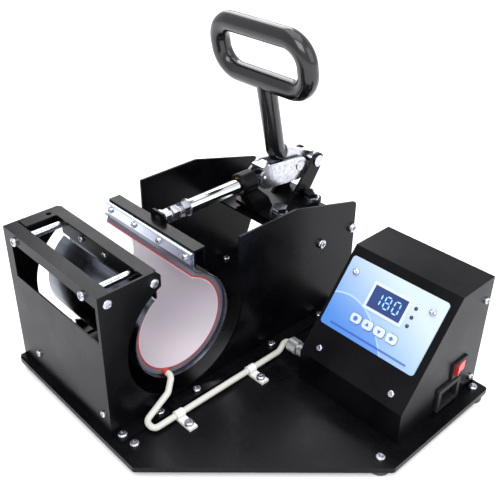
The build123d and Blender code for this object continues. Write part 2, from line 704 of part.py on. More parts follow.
def plunger_rod():
    """The round plunger, bored at the front for the stud and flattened at the rear."""
    tongue_y = ROD_PIVOT_Y - TONGUE_L
    rod = bar((PRESS_X, ROD_FRONT_Y, CLAMP_Z), (PRESS_X, tongue_y, CLAMP_Z), ROD_D)
    rod = rod - bar((PRESS_X, ROD_FRONT_Y - 1, CLAMP_Z), (PRESS_X, ROD_FRONT_Y + STUD_DEPTH, CLAMP_Z),
                    STUD_D + 2 * SLIP)
    tongue = round_hull_yz(
        [(tongue_y + 2, CLAMP_Z, ROD_D / 2 - 1.0), (ROD_PIVOT_Y, CLAMP_Z, ROD_D / 2 - 0.5)],
        mirror_x(TONGUE_T / 2),
    )
    eye = bar((PRESS_X - TONGUE_T, ROD_PIVOT_Y, CLAMP_Z), (PRESS_X + TONGUE_T, ROD_PIVOT_Y, CLAMP_Z), 6.4)
    return rod + tongue - eye


def spindle_stud():
    """The threaded stud between the bracket's lug and the plunger."""
    start = BRACKET_REAR_Y - BRACKET_T
    end = ROD_FRONT_Y + STUD_DEPTH - 1.0
    return bar((PRESS_X, start, CLAMP_Z), (PRESS_X, end, CLAMP_Z), STUD_D)


def spindle_nuts():
    """The nuts and washers on the stud: a pair at the lug and one at the plunger."""
    nuts = []
    for start in (BRACKET_REAR_Y + WASHER_T, BRACKET_REAR_Y + WASHER_T + NUT_T + 3.0, ROD_FRONT_Y - 1.2 - NUT_T):
        nuts.append(hex_prism(NUT_AF, NUT_T, (PRESS_X, start, CLAMP_Z), (0, 1, 0)))
    for start, end in ((BRACKET_REAR_Y, BRACKET_REAR_Y + WASHER_T), (ROD_FRONT_Y - 1.2, ROD_FRONT_Y)):
        nuts.append(bar((PRESS_X, start, CLAMP_Z), (PRESS_X, end, CLAMP_Z), NUT_AF + 3.0))
    bore = bar((PRESS_X, BRACKET_REAR_Y - 1, CLAMP_Z), (PRESS_X, ROD_FRONT_Y + 1, CLAMP_Z), STUD_D + 2 * SLIP)
    return group([nut - bore for nut in nuts])


def guide_bush():
    """The bronze bush that the plunger slides in."""
    ends = [(PRESS_X, y, CLAMP_Z) for y in (BARREL_FRONT_Y + BUSH_INSET, BARREL_REAR_Y - BUSH_INSET)]
    bush = bar(ends[0], ends[1], ROD_D + 2 * BUSH_WALL)
    longer = [(PRESS_X, y, CLAMP_Z) for y in (BARREL_FRONT_Y - 1, BARREL_REAR_Y + 1)]
    return bush - bar(longer[0], longer[1], ROD_D + 2 * SLIP)


def clamp_bolt_places():
    """The four bolts of the clamp's base."""
    return [(PRESS_X + side * CLAMP_BOLT_X, from_axis(dy)) for side in (-1, 1) for dy in CLAMP_BOLT_DY]


def clamp_body():
    """The clamp's cast body: base flange, guide barrel on its web, and two ears."""
    base_y = (CLAMP_BASE_FRONT_Y, CLAMP_BASE_FRONT_Y + CLAMP_BASE_L)
    base = block(mirror_x(CLAMP_BASE_X / 2), base_y, (CLAMP_BASE_LOW, CLAMP_BASE_TOP))
    base = fillet(base.edges().filter_by(Axis.Z), 6.0)
    web = plate_yz(
        [
            (BARREL_FRONT_Y + 2, CLAMP_Z - BARREL_D / 4),
            (BARREL_REAR_Y, CLAMP_Z - BARREL_D / 4),
            (BARREL_REAR_Y + 16, CLAMP_Z - 21),
            (BARREL_REAR_Y + 22, CLAMP_BASE_TOP),
            (CLAMP_BASE_FRONT_Y, CLAMP_BASE_LOW),
        ],
        mirror_x(7.0),
    )
    barrel = bar((PRESS_X, BARREL_FRONT_Y, CLAMP_Z), (PRESS_X, BARREL_REAR_Y, CLAMP_Z), BARREL_D)
    barrel = fillet(barrel.edges(), 2.0)
    body = base + web + barrel
    for side in (-1, 1):
        inner = PRESS_X + side * EAR_GAP / 2
        outer = inner + side * EAR_T
        ear = round_hull_yz(
            [
                (EAR_Y, CLAMP_Z, EAR_R),
                (EAR_Y - 36.0, CLAMP_BASE_TOP - 1, 2.0),
                (EAR_Y - 16.0, CLAMP_BASE_TOP - 1, 2.0),
            ],
            (min(inner, outer), max(inner, outer)),
        )
        below = block((PRESS_X - 40, PRESS_X + 40), (EAR_Y - 60, EAR_Y + 20), (CLAMP_BASE_LOW - 9, CLAMP_BASE_LOW))
        body = body + (ear - below)
    bore = bar((PRESS_X, BARREL_FRONT_Y - 9, CLAMP_Z), (PRESS_X, BARREL_REAR_Y + 9, CLAMP_Z),
               ROD_D + 2 * BUSH_WALL + 2 * SLIP)
    pivot = bar((PRESS_X - 30, EAR_Y, CLAMP_Z), (PRESS_X + 30, EAR_Y, CLAMP_Z), PIN_D + 2 * SLIP)
    holes = [
        bar((x, y, CLAMP_BASE_LOW - 1), (x, y, CLAMP_BASE_TOP + 1), STUD_D + 2 * BOLT_GAP)
        for x, y in clamp_bolt_places()
    ]
    return cut_all(body, [bore, pivot] + holes)


def clamp_bolts():
    """Four hexagon bolts with washers under their heads."""
    bolts = []
    shank = CLAMP_BASE_T + SPACER_H + PLATE_T + NUT_T + 3.0
    for x, y in clamp_bolt_places():
        top = CLAMP_BASE_TOP
        bolt = Pos(x, y, top) * Cylinder(NUT_AF / 2 + 1.2, 1.6, align=(Align.CENTER, Align.CENTER, Align.MIN))
        bolt = bolt + hex_prism(NUT_AF, 5.3, (x, y, top + 1.6), (0, 0, 1))
        bolts.append(bolt + bar((x, y, top - shank), (x, y, top + 2), STUD_D))
    return group(bolts)


def clamp_nuts():
    """The nuts under the deck."""
    nuts = []
    for x, y in clamp_bolt_places():
        low = DECK_Z - PLATE_T - NUT_T
        nut = hex_prism(NUT_AF, NUT_T, (x, y, low), (0, 0, 1))
        nuts.append(nut - bar((x, y, low - 1), (x, y, low + NUT_T + 1), STUD_D + 2 * SLIP))
    return group(nuts)


def clamp_spacers():
    """Round spacers between the deck and the clamp's base."""
    spacers = []
    for x, y in clamp_bolt_places():
        spacer = bar((x, y, DECK_Z), (x, y, DECK_Z + SPACER_H), SPACER_D)
        spacers.append(spacer - bar((x, y, DECK_Z - 1), (x, y, DECK_Z + SPACER_H + 1), STUD_D + 2 * BOLT_GAP))
    return group(spacers)


def toggle_link():
    """The link: two deep side plates, joined by a web over the plunger's tongue."""
    outline = [
        (ROD_PIVOT_Y, CLAMP_Z, LINK_FRONT_R),
        (ROD_PIVOT_Y + 4, CLAMP_Z + 9.0, 5.0),
        (LINK_PIVOT_Y - 2, CLAMP_Z - 2.5, LINK_REAR_R),
    ]
    link = None
    for side in (-1, 1):
        inner = PRESS_X + side * LINK_GAP / 2
        outer = inner + side * LINK_T
        cheek = round_hull_yz(outline, (min(inner, outer), max(inner, outer)))
        link = cheek if link is None else link + cheek
    web_y = (ROD_PIVOT_Y - 5.0, ROD_PIVOT_Y - 5.0 + LINK_WEB_L)
    link = link + block(mirror_x(LINK_GAP / 2 + 0.5), web_y, (CLAMP_Z + 10.5, CLAMP_Z + 13.0))
    rivet = bar((PRESS_X - 20, ROD_PIVOT_Y, CLAMP_Z), (PRESS_X + 20, ROD_PIVOT_Y, CLAMP_Z), 6.0 + 2 * SLIP)
    pin = bar((PRESS_X - 20, LINK_PIVOT_Y, CLAMP_Z), (PRESS_X + 20, LINK_PIVOT_Y, CLAMP_Z), PIN_D + 2 * SLIP)
    return link - rivet - pin


def link_front_rivets():
    """The rivets at the link's front pivot, one in each cheek."""
    rivets = []
    for side in (-1, 1):
        inner = PRESS_X + side * LINK_GAP / 2
        outer = inner + side * LINK_T
        head = outer + side * RIVET_HEAD_T
        rivet = bar((inner, ROD_PIVOT_Y, CLAMP_Z), (outer, ROD_PIVOT_Y, CLAMP_Z), 6.0)
        rivets.append(rivet + bar((outer, ROD_PIVOT_Y, CLAMP_Z), (head, ROD_PIVOT_Y, CLAMP_Z), 2 * RIVET_HEAD_R))
    return group(rivets)


def lever_link_pin():
    """The rivet that joins the link to the lever."""
    reach = LINK_GAP / 2 + LINK_T
    ends = mirror_x(reach)
    pin = bar((ends[0], LINK_PIVOT_Y, CLAMP_Z), (ends[1], LINK_PIVOT_Y, CLAMP_Z), PIN_D)
    for end, step in ((ends[0], -RIVET_HEAD_T), (ends[1], RIVET_HEAD_T)):
        pin = pin + bar((end, LINK_PIVOT_Y, CLAMP_Z), (end + step, LINK_PIVOT_Y, CLAMP_Z), 2 * RIVET_HEAD_R)
    return pin


def lever_pivot_pin():
    """The pin through the clamp's ears."""
    reach = EAR_GAP / 2 + EAR_T
    ends = mirror_x(reach)
    pin = bar((ends[0], EAR_Y, CLAMP_Z), (ends[1], EAR_Y, CLAMP_Z), PIN_D)
    for end, step in ((ends[0], -1.5), (ends[1], 1.5)):
        pin = pin + bar((end, EAR_Y, CLAMP_Z), (end + step, EAR_Y, CLAMP_Z), PIN_D + 4)
    return pin


ELBOW_Y = from_axis(ELBOW_DY)


def lever_direction():
    """The lever bar's direction, from the elbow down to the ear pivot."""
    return Vector(0, EAR_Y - ELBOW_Y, CLAMP_Z - ELBOW_Z).normalized()


def lever_tip():
    """Where the lever bar meets the handle."""
    return Vector(PRESS_X, ELBOW_Y, ELBOW_Z) + lever_direction() * ELBOW_TAIL


def lever_bar():
    """The flat lever bar with its two eyes."""
    tip = lever_tip()
    across = Vector(0, -lever_direction().Z, lever_direction().Y) * (LEVER_W / 2)
    pivot = Vector(PRESS_X, EAR_Y, CLAMP_Z)
    corners = [tip + across, pivot + across, pivot - across, tip - across]
    beam = plate_yz([(corner.Y, corner.Z) for corner in corners], mirror_x(LEVER_T / 2))
    eyes = round_hull_yz(
        [(EAR_Y, CLAMP_Z, LEVER_EYE_R), (LINK_PIVOT_Y, CLAMP_Z, LEVER_EYE_R - 0.5)],
        mirror_x(LEVER_T / 2),
    )
    holes = [
        bar((PRESS_X - 20, y, CLAMP_Z), (PRESS_X + 20, y, CLAMP_Z), PIN_D + 2 * SLIP)
        for y in (EAR_Y, LINK_PIVOT_Y)
    ]
    return cut_all(beam + eyes, holes)


def handle_solid(diameter):
    """The arm and the D-shaped loop, as a round bar of one diameter."""
    lean = radians(ARM_LEAN)
    up = Vector(0, -sin(lean), cos(lean))
    elbow = Vector(PRESS_X, ELBOW_Y, ELBOW_Z)
    loop_low = elbow + up * ((LOOP_LOW_Z - ELBOW_Z) / cos(lean))
    path = FilletPolyline(lever_tip(), elbow, loop_low, radius=ELBOW_R)
    section = Plane(origin=path @ 0, z_dir=path % 0) * Circle(diameter / 2)
    arm = sweep(section, path=path)
    plane = Plane(origin=loop_low, x_dir=(1, 0, 0), z_dir=Vector(1, 0, 0).cross(up))
    half = LOOP_W / 2
    straight_x = half - LOOP_R
    straight_y = LOOP_H - 2 * LOOP_R
    loop = None
    for side in (-1, 1):
        pieces = [
            ((0, 0), (side * straight_x, 0)),
            ((side * half, LOOP_R), (side * half, LOOP_R + straight_y)),
            ((0, LOOP_H), (side * straight_x, LOOP_H)),
        ]
        for start, end in pieces:
            a = plane.from_local_coords(Vector(start[0], start[1], 0))
            b = plane.from_local_coords(Vector(end[0], end[1], 0))
            piece = bar(a, b, diameter)
            loop = piece if loop is None else loop + piece
        for low in (True, False):
            centre_y = LOOP_R if low else LOOP_H - LOOP_R
            middle = plane.from_local_coords(Vector(side * straight_x, centre_y, 0))
            ring = Plane(origin=middle, x_dir=plane.x_dir, z_dir=plane.z_dir) * Torus(LOOP_R, diameter / 2)
            reach = LOOP_R + diameter
            corner = Pos(side * reach / 2, (-reach if low else reach) / 2, 0) * Box(reach, reach, 2 * diameter)
            quarter = ring & (Plane(origin=middle, x_dir=plane.x_dir, z_dir=plane.z_dir) * corner)
            loop = loop + quarter
    return arm + loop


def handle_core():
    """The steel bar inside the handle."""
    return handle_solid(CORE_D)


def handle_grip():
    """The dipped coating on the handle."""
    return handle_solid(GRIP_D) - handle_solid(CORE_D)


# ================================================================ tower
def tower_foot_screws():
    """The screws through the tower plates' feet."""
    places = []
    for near in (True, False):
        for dy in TOWER_FOOT_DY:
            places.append((foot_screw_x(near), from_axis(dy)))
    return places


def side_screw_places():
    """The screws that hold the deck between the tower plates."""
    return [(from_axis(dy), SIDE_SCREW_Z) for dy in SIDE_SCREW_DY]


def tower_plate(near):
    """A tower side plate: round cut, sloping top, folded foot."""
    x_span = (NEAR_IN, NEAR_OUT) if near else (FAR_OUT, FAR_IN)
    toe = from_axis(-TOWER_TOE_DY)
    front = from_axis(TOWER_FRONT_DY)
    rear = from_axis(TOWER_REAR_DY)
    foot_rear = BACK_Y - 2.0
    outline = Polygon(
        (toe, BASE_TOP),
        (toe, PRESS_AXIS_Z),
        (front, PRESS_AXIS_Z),
        (front, TOWER_TOP),
        (from_axis(TOWER_KINK_DY), TOWER_TOP),
        (rear, TOWER_REAR_TOP),
        (rear, TOWER_REAR_LOW),
        (foot_rear, BASE_TOP),
        align=None,
    )
    corner = outline.vertices().sort_by_distance(Vector(rear, TOWER_REAR_TOP, 0))[0]
    outline = fillet(corner, TOWER_REAR_R)
    plate = extrude(Plane.YZ.offset(x_span[0]) * outline, amount=PLATE_T, dir=(1, 0, 0)) - arc_cutter()
    foot_y = (toe, foot_rear - FOOT_FLANGE_SKIP - 5.0)
    plate = plate + block(foot_flange_x(near), foot_y, (BASE_TOP, BASE_TOP + PLATE_T))
    into = (-1, 0, 0) if near else (1, 0, 0)
    outer = NEAR_OUT if near else FAR_OUT
    holes = [screw_hole(M5, (outer, y, z), into, PLATE_T) for y, z in side_screw_places()]
    holes += [
        screw_hole(M4, (x, y, BASE_TOP + PLATE_T), (0, 0, -1), PLATE_T) for x, y in tower_foot_screws()
    ]
    return cut_all(plate, holes)


def clamp_deck():
    """The folded plate between the tower plates that carries the clamp."""
    y_span = (from_axis(DECK_FRONT_DY), DECK_REAR_Y)
    deck = block((FAR_IN, NEAR_IN), y_span, (DECK_Z - PLATE_T, DECK_Z))
    for x_span in ((FAR_IN, FAR_IN + PLATE_T), (NEAR_IN - PLATE_T, NEAR_IN)):
        deck = deck + block(x_span, y_span, (DECK_Z - DECK_FLANGE_H, DECK_Z))
    holes = [
        bar((x, y, DECK_Z - PLATE_T - 1), (x, y, DECK_Z + 1), STUD_D + 2 * BOLT_GAP)
        for x, y in clamp_bolt_places()
    ]
    for y, z in side_screw_places():
        holes.append(screw_hole(M5, (NEAR_OUT, y, z), (-1, 0, 0), 2 * PLATE_T))
        holes.append(screw_hole(M5, (FAR_OUT, y, z), (1, 0, 0), 2 * PLATE_T))
    return cut_all(deck, holes)


def tower_screws():
    """The screws that hold the deck between the tower plates."""
    screws = []
    for y, z in side_screw_places():
        screws.append(pan_screw(M5, (NEAR_OUT, y, z), (-1, 0, 0), 7.0))
        screws.append(pan_screw(M5, (FAR_OUT, y, z), (1, 0, 0), 7.0))
    return group(screws)


# ================================================================ control box
BOX_RIGHT = BASE_X / 2 - BOX_SIDE_GAP
BOX_LEFT = BOX_RIGHT - BOX_W
BOX_BACK = BACK_Y - BOX_BACK_GAP
BOX_FRONT = BOX_BACK - BOX_D
BOX_MID_X = (BOX_LEFT + BOX_RIGHT) / 2
SLOPE_RUN = BOX_D - BOX_TOP_D
SLOPE_RISE = BOX_H - BOX_FRONT_H
SLOPE_L = hypot(SLOPE_RUN, SLOPE_RISE)


def slope_plane(lift=0.0):
    """The sloping front's plane: x along X, y up the slope, origin at its lower middle."""
    origin = Vector(BOX_MID_X, BOX_FRONT, BASE_TOP + BOX_FRONT_H)
    normal = Vector(0, -SLOPE_RISE, SLOPE_RUN).normalized()
    return Plane(origin=origin + normal * lift, x_dir=(1, 0, 0), z_dir=normal)


def on_slope(x, up, lift, shape):
    """A shape set on the sloping front."""
    return slope_plane(lift) * (Pos(x, up, 0) * shape)


def slope_block(x, up, lift_span, width, height):
    """A rectangular block on the sloping front, between two heights over it."""
    thickness = lift_span[1] - lift_span[0]
    shape = Box(width, height, thickness, align=(Align.CENTER, Align.CENTER, Align.MIN))
    return on_slope(x, up, lift_span[0], shape)


def box_profile(inset):
    """The box's side outline, drawn in by a thickness."""
    drop = inset * (sqrt(SLOPE_RUN**2 + SLOPE_RISE**2) - SLOPE_RUN) / SLOPE_RISE
    step = inset * (SLOPE_L - SLOPE_RISE) / SLOPE_RUN
    return [
        (BOX_FRONT + inset, BASE_TOP),
        (BOX_FRONT + inset, BASE_TOP + BOX_FRONT_H - step),
        (BOX_FRONT + SLOPE_RUN + drop, BASE_TOP + BOX_H - inset),
        (BOX_BACK, BASE_TOP + BOX_H - inset),
        (BOX_BACK, BASE_TOP),
    ]


def button_places():
    """The four buttons' middles on the sloping front."""
    return [
        (PANEL_SHIFT + (i - 1.5) * BUTTON_PITCH, PANEL_LOW + BUTTON_UP) for i in range(4)
    ]


def led_places():
    """The three lamps' middles on the sloping front."""
    return [(PANEL_SHIFT + LED_X, PANEL_LOW + up) for up in LED_UP]


def display_place():
    """The display's middle on the sloping front."""
    return (PANEL_SHIFT + DISPLAY_AT[0], PANEL_LOW + DISPLAY_AT[1])


def panel_screw_places():
    """The two screws of the control panel."""
    return [(PANEL_SHIFT + side * 38.7, PANEL_LOW + 52.2) for side in (-1, 1)]


def front_screw_places():
    """The two screws low on the sloping front."""
    return [(side * 37.8, 10.8) for side in (-1, 1)]


def box_side_screws():
    """The screws on the box's sides (y, z), which hold the back panel's flanges."""
    return [(BOX_BACK - 7.8, BASE_TOP + BOX_H - 20.0), (BOX_BACK - 7.8, BASE_TOP + 11.2)]


def box_floor_screws():
    """The screws that hold the box's floor to the base plate."""
    return [(BOX_MID_X + side * 38.0, y) for side in (-1, 1) for y in (BOX_FRONT + 16.0, BOX_BACK - 16.0)]


def slope_hole(x, up, diameter):
    """A round hole through the sloping front."""
    return on_slope(x, up, -6.0, Cylinder(diameter / 2, 14.0, align=(Align.CENTER, Align.CENTER, Align.MIN)))


def box_cover():
    """The folded cover: front, slope, top and both sides."""
    outer = plate_yz(box_profile(0.0), (BOX_LEFT, BOX_RIGHT))
    inner = plate_yz(box_profile(BOX_SHEET), (BOX_LEFT + BOX_SHEET, BOX_RIGHT - BOX_SHEET))
    cover = outer - inner
    middle_x, middle_up = display_place()
    cover = cover - slope_block(middle_x, middle_up, (-6, 6), DISPLAY_W - 1.0, DISPLAY_H - 1.0)
    holes = [slope_hole(x, up, 6.5) for x, up in button_places()]
    holes += [slope_hole(x, up, LED_D + 2 * BOLT_GAP) for x, up in led_places()]
    holes += [slope_hole(x, up, M3[0] + 2 * BOLT_GAP) for x, up in panel_screw_places() + front_screw_places()]
    for y, z in box_side_screws():
        holes.append(screw_hole(M3, (BOX_RIGHT, y, z), (-1, 0, 0), BOX_SHEET))
        holes.append(screw_hole(M3, (BOX_LEFT, y, z), (1, 0, 0), BOX_SHEET))
    holes.append(side_cutout(ROCKER_DY, ROCKER_UP, ROCKER_W, ROCKER_H))
    holes.append(side_cutout(INLET_DY, INLET_UP, INLET_W, INLET_H))
    socket_y = BOX_FRONT + SOCKET_DY
    socket_z = BASE_TOP + SOCKET_UP
    holes.append(bar((BOX_LEFT - 5, socket_y, socket_z), (BOX_LEFT + 5, socket_y, socket_z), 12.0 + 2 * SLIP))
    return cut_all(cover, holes)


def side_cutout(dy, up, width, height):
    """A rectangular hole in the box's right side."""
    y = BOX_FRONT + dy
    z = BASE_TOP + up
    x_span = (BOX_RIGHT - BOX_SHEET - 2, BOX_RIGHT + 2)
    return block(x_span, (y - width / 2, y + width / 2), (z - height / 2, z + height / 2))


def box_back_panel():
    """The back panel, with the flanges that the side screws hold."""
    inner_x = (BOX_LEFT + BOX_SHEET + FACE_GAP, BOX_RIGHT - BOX_SHEET - FACE_GAP)
    z_span = (BASE_TOP + BOX_SHEET, BASE_TOP + BOX_H - BOX_SHEET - FACE_GAP)
    panel = block(inner_x, (BOX_BACK - BOX_SHEET, BOX_BACK), z_span)
    for x_span in ((inner_x[0], inner_x[0] + BOX_SHEET), (inner_x[1] - BOX_SHEET, inner_x[1])):
        panel = panel + block(x_span, (BOX_BACK - 14, BOX_BACK), z_span)
    slots = []
    for row in range(6):
        z = BASE_TOP + 40 + row * 7.0
        slots.append(block((BOX_MID_X - 22, BOX_MID_X + 22), (BOX_BACK - 3, BOX_BACK + 1), (z, z + 2.5)))
    for y, z in box_side_screws():
        slots.append(screw_hole(M3, (BOX_RIGHT, y, z), (-1, 0, 0), 2 * BOX_SHEET + FACE_GAP))
        slots.append(screw_hole(M3, (BOX_LEFT, y, z), (1, 0, 0), 2 * BOX_SHEET + FACE_GAP))
    return cut_all(panel, slots)


def box_floor():
    """The box's floor, with a fold at the front that the cover is screwed to."""
    x_span = (BOX_LEFT + BOX_SHEET + FACE_GAP, BOX_RIGHT - BOX_SHEET - FACE_GAP)
    y_span = (BOX_FRONT + BOX_SHEET + FACE_GAP, BOX_BACK)
    floor = block(x_span, y_span, (BASE_TOP, BASE_TOP + BOX_SHEET))
    rise = (BASE_TOP, BASE_TOP + BOX_FRONT_H - 6)
    floor = floor + block(x_span, (y_span[0], y_span[0] + BOX_SHEET), rise)
    holes = [
        screw_hole(M4, (x, y, BASE_TOP + BOX_SHEET), (0, 0, -1), BOX_SHEET) for x, y in box_floor_screws()
    ]
    return cut_all(floor, holes)


def box_screws():
    """All the screws of the control box."""
    screws = []
    for y, z in box_side_screws():
        screws.append(pan_screw(M3, (BOX_RIGHT, y, z), (-1, 0, 0), 5.0))
        screws.append(pan_screw(M3, (BOX_LEFT, y, z), (1, 0, 0), 5.0))
    into = (slope_plane().z_dir * -1)
    for x, up in front_screw_places():
        at = slope_plane().from_local_coords(Vector(x, up, 0))
        screws.append(pan_screw(M3, at, into, 5.0))
    for x, up in panel_screw_places():
        at = slope_plane(PANEL_PLATE_T).from_local_coords(Vector(x, up, 0))
        screws.append(pan_screw(M3, at, into, 6.0))
    return group(screws)


def control_panel():
    """The printed panel plate on the sloping front."""
    middle = PANEL_LOW + PANEL_PLATE_H / 2
    sketch = RectangleRounded(PANEL_PLATE_W, PANEL_PLATE_H, PANEL_PLATE_R)
    plate = on_slope(PANEL_SHIFT, middle, 0.0, extrude(sketch, amount=PANEL_PLATE_T))
    middle_x, middle_up = display_place()
    plate = plate - slope_block(middle_x, middle_up, (-1, 3), DISPLAY_W, DISPLAY_H)
    cutters = []
    for x, up in button_places():
        window = RectangleRounded(BUTTON_W + 2 * FACE_GAP, BUTTON_H + 2 * FACE_GAP, BUTTON_R)
        cutters.append(on_slope(x, up, -1.0, extrude(window, amount=4.0)))
    cutters += [slope_hole(x, up, LED_D + 2 * BOLT_GAP) for x, up in led_places()]
    cutters += [slope_hole(x, up, M3[0] + 2 * BOLT_GAP) for x, up in panel_screw_places()]
    return cut_all(plate, cutters)


def display_unit():
    """The three-digit display: its smoked window and the body behind it."""
    x, up = display_place()
    window = slope_block(x, up, (-0.5, PANEL_PLATE_T + 0.6), DISPLAY_W - 2 * SLIP, DISPLAY_H - 2 * SLIP)
    window = window - slope_block(x, up, (-0.6, 0.0), DISPLAY_W + 1, DISPLAY_H + 1)
    body = slope_block(x, up, (BOARD_TOP, 0.2), DISPLAY_W - 2.0, DISPLAY_H - 2.0)
    return window + body


def indicator_lamps():
    """Three small lamps beside the display, which stand on the panel board."""
    lamps = []
    for x, up in led_places():
        height = PANEL_PLATE_T + 0.8 - BOARD_TOP
        lamp = Cylinder(LED_D / 2, height, align=(Align.CENTER, Align.CENTER, Align.MIN))
        lamp = fillet(lamp.edges().group_by(Axis.Z)[-1], LED_D / 2 - 0.4)
        lamps.append(on_slope(x, up, BOARD_TOP, lamp))
    return group(lamps)


def button(index):
    """A push button: its cap over the panel and its stem through the cover."""
    x, up = button_places()[index]
    cap_low = BUTTON_TRAVEL + 0.1
    cap = extrude(RectangleRounded(BUTTON_W, BUTTON_H, BUTTON_R - 0.3), amount=PANEL_PLATE_T + BUTTON_PROUD - cap_low)
    cap = fillet(cap.edges().group_by(Axis.Z)[-1], 0.5)
    stem_low = BOARD_TOP + 3.6 + BUTTON_TRAVEL
    stem = Cylinder(2.9, cap_low - stem_low + 0.5, align=(Align.CENTER, Align.CENTER, Align.MIN))
    return on_slope(x, up, cap_low, cap) + on_slope(x, up, stem_low, stem)


def panel_board():
    """The circuit board behind the panel, with a small switch under each button."""
    middle = PANEL_LOW + PANEL_PLATE_H / 2
    board = slope_block(PANEL_SHIFT, middle - 2, (BOARD_TOP - BOARD_T, BOARD_TOP), 86.0, 50.0)
    for x, up in button_places():
        board = board + slope_block(x, up, (BOARD_TOP - 0.5, BOARD_TOP + 3.5), 6.0, 6.0)
    return board


def switch_housing():
    """The mains switch's housing, with a frame round its rocker."""
    y = BOX_FRONT + ROCKER_DY
    z = BASE_TOP + ROCKER_UP
    frame = block((BOX_RIGHT, BOX_RIGHT + 2.0), (y - 10.5, y + 10.5), (z - 7.5, z + 7.5))
    body = block((BOX_RIGHT - 14, BOX_RIGHT), (y - ROCKER_W / 2 + 0.1, y + ROCKER_W / 2 - 0.1),
                 (z - ROCKER_H / 2 + 0.1, z + ROCKER_H / 2 - 0.1))
    well = block((BOX_RIGHT - 10, BOX_RIGHT + 3), (y - 8.0, y + 8.0), (z - 5.0, z + 5.0))
    pivot = bar((BOX_RIGHT - 1, y, z - 6.0), (BOX_RIGHT - 1, y, z + 6.0), 2.0 + 2 * SLIP)
    return frame + body - well - pivot


def switch_rocker():
    """The rocker, with one end pressed in, on its own stub axle."""
    y = BOX_FRONT + ROCKER_DY
    z = BASE_TOP + ROCKER_UP
    pivot_x = BOX_RIGHT - 1
    points = [
        (y - 6.9, pivot_x + 5.6),
        (y, pivot_x + 3.6),
        (y + 6.9, pivot_x + 3.2),
        (y + 6.0, pivot_x - 3.0),
        (y - 6.0, pivot_x - 3.0),
    ]
    sketch = Polygon(*[(x, yy) for yy, x in points], align=None)
    rocker = extrude(Plane.XY.offset(z - 4.7) * sketch, amount=9.4, dir=(0, 0, 1))
    return rocker + bar((pivot_x, y, z - 5.8), (pivot_x, y, z + 5.8), 2.0)


def power_inlet():
    """The mains inlet: flange, body, open mouth and three pins."""
    y = BOX_FRONT + INLET_DY
    z = BASE_TOP + INLET_UP
    frame = block((BOX_RIGHT, BOX_RIGHT + 2.5), (y - 16.0, y + 16.0), (z - 12.0, z + 12.0))
    frame = fillet(frame.edges().filter_by(Axis.X), 2.0)
    body = block((BOX_RIGHT - 22, BOX_RIGHT + 1), (y - INLET_W / 2 + 0.1, y + INLET_W / 2 - 0.1),
                 (z - INLET_H / 2 + 0.1, z + INLET_H / 2 - 0.1))
    mouth_cut = block((BOX_RIGHT - 14, BOX_RIGHT + 4), (y - 11.5, y + 11.5), (z - 7.5, z + 7.5))
    inlet = frame + body - mouth_cut
    for dy, dz in ((-7.0, -1.5), (0.0, 2.5), (7.0, -1.5)):
        inlet = inlet + block((BOX_RIGHT - 15, BOX_RIGHT - 2), (y + dy - 1.0, y + dy + 1.0),
                              (z + dz - 2.0, z + dz + 2.0))
    return inlet


def power_board():
    """The power board on the box's floor, on four stand-offs."""
    low = BASE_TOP + BOX_SHEET
    x_span = (BOX_LEFT + 10, BOX_LEFT + 72)
    y_span = (BOX_FRONT + 28, BOX_BACK - 24)
    board = block(x_span, y_span, (low + 5, low + 5 + BOARD_T))
    for x in (x_span[0] + 4, x_span[1] - 4):
        for y in (y_span[0] + 4, y_span[1] - 4):
            board = board + bar((x, y, low), (x, y, low + 5.5), 5.0)
    return board


def transformer():
    """The small mains transformer on the power board."""
    low = BASE_TOP + BOX_SHEET + 5 + BOARD_T
    core = block((BOX_LEFT + 15, BOX_LEFT + 47), (BOX_FRONT + 34, BOX_FRONT + 60), (low, low + 26))
    coil = block((BOX_LEFT + 19, BOX_LEFT + 43), (BOX_FRONT + 30, BOX_FRONT + 64), (low + 5, low + 21))
    return core + coil


# ================================================================ heater lead
LEAD_Z = BASE_TOP + CLIP_WALL + SLIP + LEAD_D / 2
SOCKET_Y = BOX_FRONT + SOCKET_DY
SOCKET_Z = BASE_TOP + SOCKET_UP
PLUG_TAIL_X = BOX_LEFT - PLUG_L
LEAD_START_Z = PRESS_AXIS_Z - sqrt((MUG_R + LEAD_OUT) ** 2 - LEAD_SIDE**2)
LEAD_START = (MAT_X + MAT_L / 2, from_axis(-LEAD_SIDE), LEAD_START_Z)
LEAD_TURN_Y = PRESS_AXIS_Y - 55.0


def lead_points():
    """The corners of the lead's route, from the mat to the plug."""
    return [
        LEAD_START,
        (NEAR_OUT - 2.0, LEAD_START[1], LEAD_START[2]),
        (NEAR_OUT + 5.0, LEAD_START[1] - 9.5, LEAD_START[2] - 8.0),
        (LEAD_X - LEAD_FOLD, LEAD_TURN_Y, LEAD_Z + 2.0),
        (LEAD_X, LEAD_TURN_Y, LEAD_Z),
        (LEAD_X, SOCKET_Y - 8.0, LEAD_Z),
        (LEAD_X, SOCKET_Y, SOCKET_Z),
        (PLUG_TAIL_X, SOCKET_Y, SOCKET_Z),
    ]


def lead_path():
    """The lead's centre line: straight runs joined by arcs."""
    return FilletPolyline(*lead_points(), radius=list(LEAD_RADII))


def heater_lead():
    """The lead from the mat to the plug, one round section all the way."""
    path = lead_path()
    section = Plane(origin=path @ 0, z_dir=path % 0) * Circle(LEAD_D / 2)
    lead = sweep(section, path=path)
    print("heater_lead length", round(path.length, 1), "radii", LEAD_RADII)
    return lead


def lead_boot():
    """The moulded boot where the heater lead leaves the mat."""
    x, y, z = LEAD_START
    collar = bar((x, y, z), (x + 4.0, y, z), LEAD_D + 0.8)
    return collar - bar((x, y, z), (x + 5.0, y, z), LEAD_D + 2 * SLIP)


def clip_screw_places():
    """The lead clips' screws."""
    return [(LEAD_X + CLIP_REACH, y) for y in CLIP_Y]


